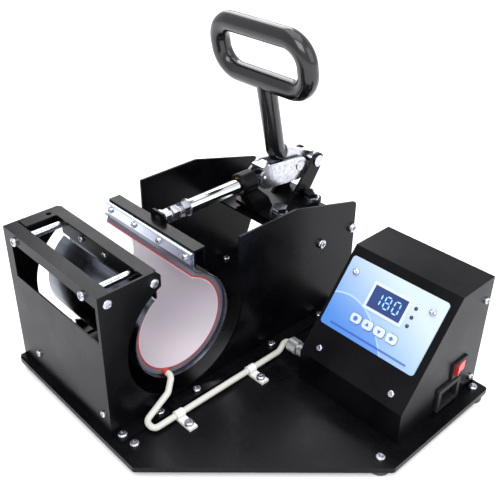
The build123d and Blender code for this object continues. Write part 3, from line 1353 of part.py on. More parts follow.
def lead_clips():
    """Two clips that hold the lead on the base plate."""
    clips = []
    outer_r = LEAD_D / 2 + SLIP + CLIP_WALL
    for y in CLIP_Y:
        y_span = (y - CLIP_W / 2, y + CLIP_W / 2)
        ends = [(LEAD_X, end, LEAD_Z) for end in y_span]
        clip = bar(ends[0], ends[1], 2 * outer_r)
        clip = clip + block((LEAD_X, LEAD_X + CLIP_REACH + 6.0), y_span, (BASE_TOP, BASE_TOP + 2 * CLIP_WALL))
        longer = [(LEAD_X, y_span[0] - 1, LEAD_Z), (LEAD_X, y_span[1] + 1, LEAD_Z)]
        clip = clip - bar(longer[0], longer[1], LEAD_D + 2 * SLIP)
        clips.append(clip - screw_hole(M4, (LEAD_X + CLIP_REACH, y, BASE_TOP + 2 * CLIP_WALL), (0, 0, -1), 3.0))
    return group(clips)


def lead_plug():
    """The plug's black body, which its gland nut is screwed on."""
    grip_x = PLUG_TAIL_X + 10.0
    body = bar((PLUG_TAIL_X, SOCKET_Y, SOCKET_Z), (grip_x, SOCKET_Y, SOCKET_Z), PLUG_D - 3.0)
    body = body + bar((grip_x, SOCKET_Y, SOCKET_Z), (BOX_LEFT - 4.0, SOCKET_Y, SOCKET_Z), PLUG_D)
    return body


def plug_nut():
    """The plug's gland nut, round the lead's end."""
    x_span = (PLUG_TAIL_X - 3.0, PLUG_TAIL_X + 8.0)
    nut = bar((x_span[0], SOCKET_Y, SOCKET_Z), (x_span[1], SOCKET_Y, SOCKET_Z), PLUG_D + 1.5)
    nut = chamfer(nut.edges().filter_by(GeomType.CIRCLE).group_by(Axis.X)[0], 1.5)
    lead_hole = bar((x_span[0] - 1, SOCKET_Y, SOCKET_Z), (PLUG_TAIL_X, SOCKET_Y, SOCKET_Z), LEAD_D + 2 * SLIP)
    body_hole = bar((PLUG_TAIL_X, SOCKET_Y, SOCKET_Z), (x_span[1] + 1, SOCKET_Y, SOCKET_Z), PLUG_D - 3.0 + 2 * SLIP)
    return nut - lead_hole - body_hole


def lead_socket():
    """The socket in the box's left side, with its flange and nut."""
    socket = bar((BOX_LEFT - 4, SOCKET_Y, SOCKET_Z), (BOX_LEFT + 12, SOCKET_Y, SOCKET_Z), 12.0)
    socket = socket + bar((BOX_LEFT - 4, SOCKET_Y, SOCKET_Z), (BOX_LEFT, SOCKET_Y, SOCKET_Z), PLUG_D + 4.0)
    nut_x = BOX_LEFT + 2 * BOX_SHEET + FACE_GAP + 0.2
    return socket + hex_prism(15.0, 3.0, (nut_x, SOCKET_Y, SOCKET_Z), (1, 0, 0))


# ================================================================ all the nodes
NODES = {
    "base_plate": base_plate,
    "rubber_feet": rubber_feet,
    "base_screws": base_screws,
    "cradle_near_plate": lambda: cradle_plate(True),
    "cradle_far_plate": lambda: cradle_plate(False),
    "cradle_face_panel": cradle_face_panel,
    "cradle_cross_strap": cradle_cross_strap,
    "cradle_rear_panel": cradle_rear_panel,
    "tie_rods": tie_rods,
    "cradle_screws": cradle_screws,
    "heater_liner": heater_liner,
    "heater_mat": heater_mat,
    "insulation_layer": insulation_layer,
    "backing_sheet": backing_sheet,
    "left_clamp_strip": left_clamp_strip,
    "left_strip_screws": left_strip_screws,
    "right_clamp_strip": right_clamp_strip,
    "right_strip_screws": right_strip_screws,
    "moving_bracket": moving_bracket,
    "plunger_rod": plunger_rod,
    "spindle_stud": spindle_stud,
    "spindle_nuts": spindle_nuts,
    "guide_bush": guide_bush,
    "clamp_body": clamp_body,
    "clamp_bolts": clamp_bolts,
    "clamp_nuts": clamp_nuts,
    "clamp_spacers": clamp_spacers,
    "toggle_link": toggle_link,
    "link_front_rivets": link_front_rivets,
    "lever_link_pin": lever_link_pin,
    "lever_pivot_pin": lever_pivot_pin,
    "lever_bar": lever_bar,
    "handle_core": handle_core,
    "handle_grip": handle_grip,
    "tower_near_plate": lambda: tower_plate(True),
    "tower_far_plate": lambda: tower_plate(False),
    "clamp_deck": clamp_deck,
    "tower_screws": tower_screws,
    "box_cover": box_cover,
    "box_back_panel": box_back_panel,
    "box_floor": box_floor,
    "box_screws": box_screws,
    "control_panel": control_panel,
    "display_unit": display_unit,
    "indicator_lamps": indicator_lamps,
    "button_1": lambda: button(0),
    "button_2": lambda: button(1),
    "button_3": lambda: button(2),
    "button_4": lambda: button(3),
    "panel_board": panel_board,
    "switch_housing": switch_housing,
    "switch_rocker": switch_rocker,
    "power_inlet": power_inlet,
    "power_board": power_board,
    "transformer": transformer,
    "heater_lead": heater_lead,
    "lead_plug": lead_plug,
    "plug_nut": plug_nut,
    "lead_socket": lead_socket,
    "lead_clips": lead_clips,
}


def main():
    """Writes one STEP file for each node."""
    os.makedirs("parts", exist_ok=True)
    for name, make in NODES.items():
        shape = make()
        shape.label = name
        export_step(shape, os.path.join("parts", name + ".step"))


if __name__ == "__main__":
    main()
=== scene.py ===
"""Looks of the mug heat press: finishes for its metal and plastic, a heating mat curved round the mug,
lit digits, a display rim, key marks, studio light and the camera."""

import json
import logging
from dataclasses import dataclass, field
from enum import Enum
from math import asin, atan2, cos, degrees, hypot, pi, radians, sin

import bmesh
import bpy
from mathutils import Matrix, Vector


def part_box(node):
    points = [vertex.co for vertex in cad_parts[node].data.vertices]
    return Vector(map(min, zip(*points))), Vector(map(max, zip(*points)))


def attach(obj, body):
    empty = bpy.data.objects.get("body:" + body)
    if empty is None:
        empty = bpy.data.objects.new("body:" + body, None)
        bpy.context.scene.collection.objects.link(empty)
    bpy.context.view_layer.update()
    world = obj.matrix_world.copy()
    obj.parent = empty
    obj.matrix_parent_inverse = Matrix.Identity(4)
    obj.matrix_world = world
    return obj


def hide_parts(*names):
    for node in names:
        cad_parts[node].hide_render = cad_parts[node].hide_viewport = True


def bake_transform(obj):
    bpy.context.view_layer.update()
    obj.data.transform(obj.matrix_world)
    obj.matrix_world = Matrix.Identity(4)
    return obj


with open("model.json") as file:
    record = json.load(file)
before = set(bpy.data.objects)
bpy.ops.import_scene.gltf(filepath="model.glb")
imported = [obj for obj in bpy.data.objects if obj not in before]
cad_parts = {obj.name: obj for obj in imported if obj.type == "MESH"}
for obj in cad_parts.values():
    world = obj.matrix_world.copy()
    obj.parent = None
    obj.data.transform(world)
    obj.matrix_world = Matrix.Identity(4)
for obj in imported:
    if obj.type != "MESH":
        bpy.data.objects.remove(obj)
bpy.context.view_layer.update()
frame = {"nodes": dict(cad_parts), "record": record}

LOG = logging.getLogger("mug_press")
DUST_COLOUR = (0.42, 0.41, 0.39)

Colour = tuple[float, float, float]
Place = tuple[float, float, float]


# ---------------------------------------------------------------- shader nodes
class Grain(Enum):
    """The fine structure of a surface."""

    POWDER = "powder"
    BRUSHED = "brushed"
    WOVEN = "woven"
    CAST = "cast"
    THREAD = "thread"
    SMOOTH = "smooth"


@dataclass
class NodeDesk:
    """Adds and joins the nodes of one shader tree.

    Args:
        tree: The node tree that is worked on.
    """

    tree: bpy.types.NodeTree

    def add(self, kind: str, settings: dict | None = None, values: dict | None = None) -> bpy.types.Node:
        """Adds a node.

        Args:
            kind: The node's type name.
            settings: Attributes to set on the node.
            values: Values of the node's input sockets, by name or number.

        Returns:
            The new node.
        """
        node = self.tree.nodes.new(kind)
        for key, value in (settings or {}).items():
            setattr(node, key, value)
        for key, value in (values or {}).items():
            node.inputs[key].default_value = value
        return node

    def join(self, source: bpy.types.NodeSocket, target: bpy.types.NodeSocket) -> None:
        """Links an output socket to an input socket."""
        self.tree.links.new(source, target)

    def noise(self, vector: bpy.types.NodeSocket, scale: float, detail: float = 2.0) -> bpy.types.NodeSocket:
        """Adds a noise texture.

        Args:
            vector: The coordinates that it reads.
            scale: Cells to the metre.
            detail: Octaves of finer noise.

        Returns:
            The noise value's socket.
        """
        node = self.add("ShaderNodeTexNoise", values={"Scale": scale, "Detail": detail})
        self.join(vector, node.inputs["Vector"])
        return node.outputs["Fac"]

    def maths(self, kind: str, first: object, second: object = 0.5) -> bpy.types.NodeSocket:
        """Adds a math node whose inputs are sockets or numbers.

        Args:
            kind: The operation's name.
            first: The first input.
            second: The second input.

        Returns:
            The result's socket.
        """
        node = self.add("ShaderNodeMath", {"operation": kind})
        for socket, value in zip(node.inputs, (first, second)):
            if isinstance(value, (int, float)):
                socket.default_value = value
            else:
                self.join(value, socket)
        return node.outputs[0]

    def ramp(self, value: bpy.types.NodeSocket, low: float, high: float, start: float = 0.0,
             end: float = 1.0) -> bpy.types.NodeSocket:
        """Maps a value from one range to another, clamped.

        Args:
            value: The value's socket.
            low: The value that gives start.
            high: The value that gives end.
            start: The result at low.
            end: The result at high.

        Returns:
            The result's socket.
        """
        node = self.add("ShaderNodeMapRange", values={1: low, 2: high, 3: start, 4: end})
        self.join(value, node.inputs[0])
        return node.outputs[0]

    def blend(self, mask: bpy.types.NodeSocket, first: object, second: object) -> bpy.types.NodeSocket:
        """Mixes two colours.

        Args:
            mask: How much of the second colour shows.
            first: The first colour, as numbers or a socket.
            second: The second colour, as numbers or a socket.

        Returns:
            The mixed colour's socket.
        """
        node = self.add("ShaderNodeMix", {"data_type": "RGBA"})
        self.join(mask, node.inputs[0])
        for socket, value in ((node.inputs[6], first), (node.inputs[7], second)):
            if isinstance(value, tuple):
                socket.default_value = (*value, 1.0)
            else:
                self.join(value, socket)
        return node.outputs[2]


def start_group(name: str, inputs: dict[str, float],
                outputs: list[str]) -> tuple[NodeDesk, dict, bpy.types.Node]:
    """Starts a shader node group with named inputs and outputs.

    Args:
        name: The group's name.
        inputs: Each input's name and its value to start with.
        outputs: The outputs' names.

    Returns:
        The desk to work at, the input sockets by name, and the output node.
    """
    tree = bpy.data.node_groups.new(name, "ShaderNodeTree")
    for label, value in inputs.items():
        socket = tree.interface.new_socket(label, in_out="INPUT", socket_type="NodeSocketFloat")
        socket.default_value = value
    for label in outputs:
        tree.interface.new_socket(label, in_out="OUTPUT", socket_type="NodeSocketFloat")
    desk = NodeDesk(tree)
    entry = desk.add("NodeGroupInput")
    leave = desk.add("NodeGroupOutput")
    return desk, {label: entry.outputs[label] for label in inputs}, leave


def object_place(desk: NodeDesk) -> bpy.types.NodeSocket:
    """Gives the Object coordinates' socket in a tree."""
    return desk.add("ShaderNodeTexCoord").outputs["Object"]


def stretched_noise(desk: NodeDesk, stretch: Place, scale: bpy.types.NodeSocket) -> bpy.types.NodeSocket:
    """Adds noise drawn out along some axes.

    Args:
        desk: The desk of the tree.
        stretch: The scale along each axis.
        scale: The socket of the noise's scale.

    Returns:
        The noise value's socket.
    """
    mapping = desk.add("ShaderNodeMapping", values={"Scale": stretch})
    desk.join(object_place(desk), mapping.inputs["Vector"])
    node = desk.add("ShaderNodeTexNoise", values={"Detail": 3.0})
    desk.join(mapping.outputs[0], node.inputs["Vector"])
    desk.join(scale, node.inputs["Scale"])
    return node.outputs["Fac"]


def powder_group() -> bpy.types.NodeTree:
    """Builds the orange-peel grain of powder coat and cast skin.

    Returns:
        The node group.
    """
    desk, inputs, leave = start_group("powder_grain", {"Scale": 1500.0}, ["Height", "Fleck"])
    fine = stretched_noise(desk, (1.0, 1.0, 1.0), inputs["Scale"])
    coarse = stretched_noise(desk, (0.3, 0.3, 0.3), inputs["Scale"])
    height = desk.maths("MULTIPLY", desk.maths("ADD", fine, coarse), 0.5)
    desk.join(height, leave.inputs["Height"])
    desk.join(desk.ramp(fine, 0.58, 0.72), leave.inputs["Fleck"])
    return desk.tree


def brushed_group() -> bpy.types.NodeTree:
    """Builds the fine lines of brushed and rolled metal, along the long X direction.

    Returns:
        The node group.
    """
    desk, inputs, leave = start_group("brushed_grain", {"Scale": 900.0}, ["Height", "Streak"])
    lines = stretched_noise(desk, (0.03, 1.0, 1.0), inputs["Scale"])
    broad = stretched_noise(desk, (0.01, 0.2, 0.2), inputs["Scale"])
    desk.join(lines, leave.inputs["Height"])
    desk.join(desk.ramp(broad, 0.35, 0.65), leave.inputs["Streak"])
    return desk.tree


def weave_group() -> bpy.types.NodeTree:
    """Builds a plain weave from two sets of crossing bands.

    Returns:
        The node group.
    """
    desk, inputs, leave = start_group("plain_weave", {"Scale": 900.0}, ["Height", "Thread"])
    place = object_place(desk)
    sets = []
    for axis in ("X", "DIAGONAL"):
        wave = desk.add("ShaderNodeTexWave", {"bands_direction": axis}, {"Distortion": 0.6})
        desk.join(place, wave.inputs["Vector"])
        desk.join(inputs["Scale"], wave.inputs["Scale"])
        sets.append(wave.outputs["Fac"])
    height = desk.maths("MAXIMUM", sets[0], sets[1])
    desk.join(height, leave.inputs["Height"])
    desk.join(desk.maths("MULTIPLY", sets[0], sets[1]), leave.inputs["Thread"])
    return desk.tree


def smudge_group() -> bpy.types.NodeTree:
    """Builds the broad, soft patches that handling leaves on a surface.

    Returns:
        The node group.
    """
    desk, inputs, leave = start_group("handling_smudge", {"Scale": 22.0}, ["Patch"])
    broad = stretched_noise(desk, (1.0, 1.0, 1.0), inputs["Scale"])
    desk.join(desk.ramp(broad, 0.38, 0.66), leave.inputs["Patch"])
    return desk.tree


def dust_group() -> bpy.types.NodeTree:
    """Builds the light dust that settles on faces that look up.

    Returns:
        The node group.
    """
    desk, inputs, leave = start_group("settled_dust", {"Amount": 0.1}, ["Mask"])
    facing = desk.add("ShaderNodeSeparateXYZ")
    desk.join(desk.add("ShaderNodeNewGeometry").outputs["Normal"], facing.inputs[0])
    upward = desk.ramp(facing.outputs["Z"], 0.35, 1.0)
    specks = desk.ramp(desk.noise(object_place(desk), 260.0, 4.0), 0.42, 0.75)
    mask = desk.maths("MULTIPLY", desk.maths("MULTIPLY", upward, specks), inputs["Amount"])
    desk.join(mask, leave.inputs["Mask"])
    return desk.tree


GROUPS: dict[str, bpy.types.NodeTree] = {}


def place_group(desk: NodeDesk, name: str, values: dict[str, float]) -> bpy.types.Node:
    """Places a shared group in a material.

    Args:
        desk: The desk of the material's tree.
        name: The group's key.
        values: Values of its inputs.

    Returns:
        The group node.
    """
    node = desk.add("ShaderNodeGroup", {"node_tree": GROUPS[name]})
    for key, value in values.items():
        node.inputs[key].default_value = value
    return node


@dataclass(frozen=True)
class Finish:
    """A surface finish that becomes one material.

    Args:
        name: The record's slot that it dresses.
        colour: Main colour.
        second: Colour of the patches, woven threads or streaks; for a cut thread, the painted shade in its
            grooves.
        metal: 1 for bare metal, 0 for anything else.
        gloss: Roughness at its smoothest and roughest.
        grain: The kind of fine structure.
        grain_scale: Its cells to the metre.
        grain_depth: Its depth, in metres.
        dust: How much dust lies on it.
        coat: Weight of a clear coat.
        sheen: Weight of a soft sheen.
        specular: Strength of its reflections.
    """

    name: str
    colour: Colour
    second: Colour
    metal: float = 0.0
    gloss: tuple[float, float] = (0.3, 0.5)
    grain: Grain = Grain.SMOOTH
    grain_scale: float = 1500.0
    grain_depth: float = 0.00004
    dust: float = 0.1
    coat: float = 0.0
    sheen: float = 0.0
    specular: float = 0.5

    def build(self) -> bpy.types.Material:
        """Makes the material.

        Returns:
            The material.
        """
        material = bpy.data.materials.new(self.name)
        material.use_nodes = True
        desk = NodeDesk(material.node_tree)
        shader = material.node_tree.nodes["Principled BSDF"]
        patch = place_group(desk, "smudge", {"Scale": 24.0}).outputs["Patch"]
        dust = place_group(desk, "dust", {"Amount": self.dust}).outputs["Mask"]
        height, mask = self._grain(desk, patch)
        colour = desk.blend(mask, self.colour, self.second)
        dusty = desk.blend(dust, colour, DUST_COLOUR)
        desk.join(dusty, shader.inputs["Base Color"])
        rough = desk.maths("ADD", desk.ramp(patch, 0.0, 1.0, *self.gloss), desk.maths("MULTIPLY", dust, 0.4))
        desk.join(rough, shader.inputs["Roughness"])
        shader.inputs["Metallic"].default_value = self.metal
        shader.inputs["Specular IOR Level"].default_value = self.specular
        shader.inputs["Coat Weight"].default_value = self.coat
        shader.inputs["Coat Roughness"].default_value = 0.08
        shader.inputs["Sheen Weight"].default_value = self.sheen
        bump = desk.add("ShaderNodeBump", values={"Strength": 0.6, "Distance": self.grain_depth})
        desk.join(height, bump.inputs["Height"])
        desk.join(bump.outputs["Normal"], shader.inputs["Normal"])
        material.diffuse_color = (*self.colour, 1.0)
        return material

    def _grain(self, desk: NodeDesk,
               patch: bpy.types.NodeSocket) -> tuple[bpy.types.NodeSocket, bpy.types.NodeSocket]:
        """Adds the grain.

        Args:
            desk: The desk of the material's tree.
            patch: The smudges' socket.

        Returns:
            The sockets of the height and of the second colour's mask.
        """
        values = {"Scale": self.grain_scale}
        if self.grain in (Grain.POWDER, Grain.CAST):
            node = place_group(desk, "powder", values)
            return node.outputs["Height"], desk.maths("MAXIMUM", node.outputs["Fleck"], patch)
        if self.grain is Grain.BRUSHED:
            node = place_group(desk, "brushed", values)
            return node.outputs["Height"], node.outputs["Streak"]
        if self.grain is Grain.WOVEN:
            node = place_group(desk, "weave", values)
            return node.outputs["Height"], node.outputs["Thread"]
        if self.grain is Grain.THREAD:
            # Painted shade: the thread's valleys, where the wave is low, take the dark second colour.
            wave = desk.add("ShaderNodeTexWave", {"bands_direction": "Y", "wave_profile": "TRI"},
                            {"Scale": self.grain_scale})
            desk.join(object_place(desk), wave.inputs["Vector"])
            return wave.outputs["Fac"], desk.maths("SUBTRACT", 1.0, wave.outputs["Fac"])
        node = place_group(desk, "powder", values)
        return node.outputs["Height"], patch


FINISHES = [
    Finish("black_powder_coat", (0.0012, 0.0012, 0.0018), (0.003, 0.003, 0.004), gloss=(0.24, 0.34),
           grain=Grain.POWDER, grain_scale=1400.0, grain_depth=0.00004, dust=0.005, specular=0.12),
    Finish("zinc_steel", (0.60, 0.61, 0.65), (0.38, 0.39, 0.43), metal=1.0, gloss=(0.17, 0.30),
           grain=Grain.BRUSHED, grain_scale=1500.0, grain_depth=0.00002, dust=0.04),
    Finish("chrome", (0.78, 0.79, 0.82), (0.70, 0.71, 0.74), metal=1.0, gloss=(0.06, 0.12),
           grain=Grain.SMOOTH, grain_scale=500.0, grain_depth=0.00001, dust=0.02),
    Finish("aluminium", (0.66, 0.72, 0.82), (0.52, 0.58, 0.68), metal=1.0, gloss=(0.26, 0.40),
           grain=Grain.BRUSHED, grain_scale=1400.0, grain_depth=0.00003, dust=0.03),
    Finish("spring_steel", (0.17, 0.19, 0.22), (0.11, 0.12, 0.15), metal=1.0, gloss=(0.22, 0.38),
           grain=Grain.BRUSHED, grain_scale=1200.0, grain_depth=0.00002, dust=0.03),
    Finish("red_silicone", (0.42, 0.035, 0.02), (0.32, 0.02, 0.015), gloss=(0.45, 0.6),
           grain=Grain.WOVEN, grain_scale=700.0, grain_depth=0.00006, dust=0.03),
    Finish("white_liner", (0.50, 0.46, 0.50), (0.40, 0.35, 0.38), gloss=(0.42, 0.55),
           grain=Grain.WOVEN, grain_scale=800.0, grain_depth=0.00004, dust=0.0),
    Finish("sponge", (0.12, 0.12, 0.15), (0.08, 0.08, 0.11), gloss=(0.8, 0.95),
           grain=Grain.CAST, grain_scale=900.0, grain_depth=0.0002, dust=0.0),
    Finish("black_rubber", (0.022, 0.022, 0.022), (0.04, 0.04, 0.04), gloss=(0.6, 0.75),
           grain=Grain.CAST, grain_scale=900.0, grain_depth=0.00008, dust=0.12),
    Finish("black_coating", (0.004, 0.004, 0.005), (0.008, 0.008, 0.009), gloss=(0.16, 0.26),
           grain=Grain.SMOOTH, grain_scale=160.0, grain_depth=0.0001, dust=0.01, coat=0.3, specular=0.4),
    Finish("black_plastic", (0.006, 0.006, 0.007), (0.012, 0.012, 0.013), gloss=(0.42, 0.55),
           grain=Grain.CAST, grain_scale=1800.0, grain_depth=0.00004, dust=0.03, specular=0.3),
    Finish("red_plastic", (0.62, 0.02, 0.015), (0.5, 0.015, 0.012), gloss=(0.2, 0.3),
           grain=Grain.SMOOTH, grain_scale=300.0, grain_depth=0.00002, dust=0.03),
    Finish("white_plastic", (0.72, 0.72, 0.70), (0.62, 0.62, 0.60), gloss=(0.4, 0.5),
           grain=Grain.SMOOTH, grain_scale=700.0, grain_depth=0.00004, dust=0.05),
    Finish("white_sleeve", (0.58, 0.57, 0.53), (0.40, 0.38, 0.34), gloss=(0.65, 0.8),
           grain=Grain.WOVEN, grain_scale=520.0, grain_depth=0.00025, dust=0.04, sheen=0.2),
    Finish("blue_key", (0.52, 0.58, 0.68), (0.44, 0.52, 0.66), gloss=(0.3, 0.4),
           grain=Grain.SMOOTH, grain_scale=900.0, grain_depth=0.00002, dust=0.02),
    Finish("lamp_lens", (0.020, 0.012, 0.022), (0.045, 0.02, 0.04), gloss=(0.1, 0.2),
           grain=Grain.SMOOTH, grain_scale=300.0, grain_depth=0.00001, dust=0.0, coat=0.4),
    Finish("bronze", (0.60, 0.40, 0.18), (0.48, 0.31, 0.14), metal=1.0, gloss=(0.25, 0.4),
           grain=Grain.BRUSHED, grain_scale=1500.0, grain_depth=0.00002, dust=0.0),
    Finish("green_board", (0.02, 0.16, 0.05), (0.03, 0.22, 0.08), gloss=(0.3, 0.4),
           grain=Grain.POWDER, grain_scale=700.0, grain_depth=0.00003, dust=0.0),
    Finish("transformer_steel", (0.22, 0.22, 0.23), (0.12, 0.12, 0.13), metal=1.0, gloss=(0.4, 0.6),
           grain=Grain.BRUSHED, grain_scale=900.0, grain_depth=0.00004, dust=0.0),
    # The dark second colours of plug_metal and stud_thread are painted shade in the thread grooves.
    Finish("plug_metal", (0.70, 0.71, 0.74), (0.16, 0.16, 0.17), metal=0.5, gloss=(0.2, 0.3),
           grain=Grain.THREAD, grain_scale=60.0, grain_depth=0.0003, dust=0.0),
    Finish("stud_thread", (0.60, 0.60, 0.62), (0.18, 0.18, 0.19), metal=1.0, gloss=(0.25, 0.4),
           grain=Grain.THREAD, grain_scale=128.0, grain_depth=0.0004, dust=0.0),
]


@dataclass(frozen=True)
class Slope:
    """The control box's sloping front: where a point of the panel lies.

    Args:
        low: A corner of the panel plate's box, its lower left end.
        run: Rise and depth of the slope, in millimetres.
    """

    low: Place
    run: tuple[float, float] = (65.0, 81.6)

    def up(self) -> Vector:
        """The direction up the slope."""
        return Vector((0.0, self.run[0], self.run[1])).normalized()

    def out(self) -> Vector:
        """The direction out of the slope."""
        return Vector((0.0, -self.run[1], self.run[0])).normalized()

    def at(self, across: float, up: float, out: float = 0.0) -> Vector:
        """A point on the slope.

        Args:
            across: Distance along X from the plate's left edge, in metres.
            up: Distance up the slope from the plate's lower edge, in metres.
            out: Height over the plate's back, in metres.

        Returns:
            The point.
        """
        return Vector(self.low) + Vector((across, 0, 0)) + self.up() * up + self.out() * out

    def turn(self) -> Matrix:
        """The rotation that lays a flat thing on the slope."""
        return Matrix((Vector((1, 0, 0)), self.up(), self.out())).transposed()


@dataclass(frozen=True)
class PanelFilm:
    """The printed film of the control panel: a pale fade, a swept line and a thin dark stripe.

    Args:
        slope: The panel's plane.
        width: The plate's width, in metres.
        height: The plate's height up the slope, in metres.
    """

    slope: Slope
    width: float = 0.0965
    height: float = 0.0645

    def build(self) -> bpy.types.Material:
        """Makes the material.

        Returns:
            The material.
        """
        material = bpy.data.materials.new("panel_film")
        material.use_nodes = True
        desk = NodeDesk(material.node_tree)
        shader = material.node_tree.nodes["Principled BSDF"]
        place = desk.add("ShaderNodeVectorMath", {"operation": "SUBTRACT"})
        desk.join(object_place(desk), place.inputs[0])
        place.inputs[1].default_value = self.slope.low
        across = self._along(desk, place.outputs[0], Vector((1, 0, 0)), self.width)
        up = self._along(desk, place.outputs[0], self.slope.up(), self.height)
        fade = desk.ramp(desk.maths("ADD", desk.maths("MULTIPLY", across, 0.8), up), 0.2, 1.35)
        colour = desk.blend(fade, (0.08, 0.25, 0.60), (0.45, 0.53, 0.60))
        rise = desk.maths("MULTIPLY", desk.maths("POWER", desk.maths("SUBTRACT", across, 0.16), 2.0), -2.0)
        bend = desk.maths("ADD", rise, 0.50)
        under = desk.ramp(desk.maths("SUBTRACT", bend, up), 0.0, 0.02)
        deeper = desk.ramp(up, 0.05, 0.5, 0.7, 0.3)
        colour = desk.blend(desk.maths("MULTIPLY", under, deeper), colour, (0.05, 0.17, 0.52))
        gap = desk.maths("ABSOLUTE", desk.maths("SUBTRACT", up, bend))
        line = desk.ramp(gap, 0.006, 0.014, 0.8, 0.0)
        colour = desk.blend(line, colour, (0.42, 0.55, 0.80))
        stripe = desk.ramp(desk.maths("ABSOLUTE", desk.maths("SUBTRACT", up, 0.07)), 0.012, 0.016, 1.0, 0.0)
        inside = desk.ramp(desk.maths("ABSOLUTE", desk.maths("SUBTRACT", across, 0.5)), 0.40, 0.41, 0.8, 0.0)
        colour = desk.blend(desk.maths("MULTIPLY", stripe, inside), colour, (0.02, 0.06, 0.30))
        dust = place_group(desk, "dust", {"Amount": 0.03}).outputs["Mask"]
        desk.join(desk.blend(dust, colour, DUST_COLOUR), shader.inputs["Base Color"])
        patch = place_group(desk, "smudge", {"Scale": 40.0}).outputs["Patch"]
        desk.join(desk.ramp(patch, 0.0, 1.0, 0.28, 0.38), shader.inputs["Roughness"])
        grain = place_group(desk, "powder", {"Scale": 2400.0})
        bump = desk.add("ShaderNodeBump", values={"Strength": 0.3, "Distance": 0.00002})
        desk.join(grain.outputs["Height"], bump.inputs["Height"])
        desk.join(bump.outputs["Normal"], shader.inputs["Normal"])
        return material

    def _along(self, desk: NodeDesk, place: bpy.types.NodeSocket, axis: Vector,
               size: float) -> bpy.types.NodeSocket:
        """Gives how far along an axis a point lies, from 0 to 1.

        Args:
            desk: The desk of the material's tree.
            place: The point's socket.
            axis: The axis.
            size: The plate's size along the axis.

        Returns:
            The value's socket.
        """
        node = desk.add("ShaderNodeVectorMath", {"operation": "DOT_PRODUCT"})
        desk.join(place, node.inputs[0])
        node.inputs[1].default_value = axis / size
        return node.outputs["Value"]


@dataclass(frozen=True)
class Glow:
    """A lit segment or lamp.

    Args:
        name: The material's name.
        colour: The light's colour.
        strength: How bright it is.
    """

    name: str
    colour: Colour
    strength: float

    def build(self) -> bpy.types.Material:
        """Makes the material.

        Returns:
            The material.
        """
        material = bpy.data.materials.new(self.name)
        material.use_nodes = True
        desk = NodeDesk(material.node_tree)
        shader = material.node_tree.nodes["Principled BSDF"]
        patch = place_group(desk, "smudge", {"Scale": 160.0}).outputs["Patch"]
        paler = tuple(min(1.0, value * 1.15 + 0.03) for value in self.colour)
        colour = desk.blend(patch, self.colour, paler)
        desk.join(colour, shader.inputs["Base Color"])
        desk.join(colour, shader.inputs["Emission Color"])
        shader.inputs["Emission Strength"].default_value = self.strength
        shader.inputs["Roughness"].default_value = 0.3
        return material


@dataclass(frozen=True)
class DisplayLens:
    """The smoked blue window over the digits."""

    name: str = "display_lens"

    def build(self) -> bpy.types.Material:
        """Makes the material.

        Returns:
            The material.
        """
        material = bpy.data.materials.new(self.name)
        material.use_nodes = True
        desk = NodeDesk(material.node_tree)
        shader = material.node_tree.nodes["Principled BSDF"]
        patch = place_group(desk, "smudge", {"Scale": 60.0}).outputs["Patch"]
        colour = desk.blend(patch, (0.004, 0.020, 0.110), (0.008, 0.032, 0.150))
        desk.join(colour, shader.inputs["Base Color"])
        desk.join(desk.ramp(patch, 0.0, 1.0, 0.10, 0.16), shader.inputs["Roughness"])
        shader.inputs["Coat Weight"].default_value = 0.4
        return material


# ---------------------------------------------------------------- mesh work
def clear_selection() -> None:
    """Leaves nothing selected."""
    for thing in bpy.context.selected_objects:
        thing.select_set(False)
    bpy.context.view_layer.objects.active = None


def take(name: str) -> bpy.types.Object:
    """Names the piece that was just added.

    Args:
        name: The piece's name.

    Returns:
        The piece.
    """
    piece = bpy.context.active_object
    piece.name = name
    piece.data.name = name
    return piece


def settle(piece: bpy.types.Object) -> None:
    """Applies a piece's place, turn and scale to its mesh."""
    clear_selection()
    piece.select_set(True)
    bpy.context.view_layer.objects.active = piece
    bpy.ops.object.transform_apply(location=True, rotation=True, scale=True)


def apply_modifier(piece: bpy.types.Object, kind: str, settings: dict) -> None:
    """Adds a modifier to a piece and applies it.

    Args:
        piece: The piece.
        kind: The modifier's type name.
        settings: Its settings.
    """
    clear_selection()
    piece.select_set(True)
    bpy.context.view_layer.objects.active = piece
    modifier = piece.modifiers.new(kind.lower(), kind)
    for key, value in settings.items():
        setattr(modifier, key, value)
    bpy.ops.object.modifier_apply(modifier=modifier.name)


def smooth(piece: bpy.types.Object, angle: float = 35.0) -> None:
    """Shades a piece smooth below an angle.

    Args:
        piece: The piece.
        angle: The angle, in degrees.
    """
    clear_selection()
    piece.select_set(True)
    bpy.context.view_layer.objects.active = piece
    bpy.ops.object.shade_smooth_by_angle(angle=radians(angle))


def wear(piece: bpy.types.Object, material: bpy.types.Material) -> None:
    """Gives a piece its material.

    Args:
        piece: The piece.
        material: The material.
    """
    piece.data.materials.clear()
    piece.data.materials.append(material)


def choose(piece: bpy.types.Object, element: str, test: object) -> None:
    """Selects the vertices, edges or faces of a piece in edit mode that pass a test.

    Args:
        piece: The piece, in edit mode.
        element: "verts", "edges" or "faces".
        test: A function of one element, true for those to select.
    """
    bpy.ops.mesh.select_mode(type={"verts": "VERT", "edges": "EDGE", "faces": "FACE"}[element])
    bpy.ops.mesh.select_all(action="DESELECT")
    mesh = bmesh.from_edit_mesh(piece.data)
    for part in getattr(mesh, element):
        if test(part):
            part.select_set(True)
    mesh.select_flush_mode()
    bmesh.update_edit_mesh(piece.data)


# ---------------------------------------------------------------- heating mat
MESH_STEP = 2.5  # degrees between the vertices of a mat layer


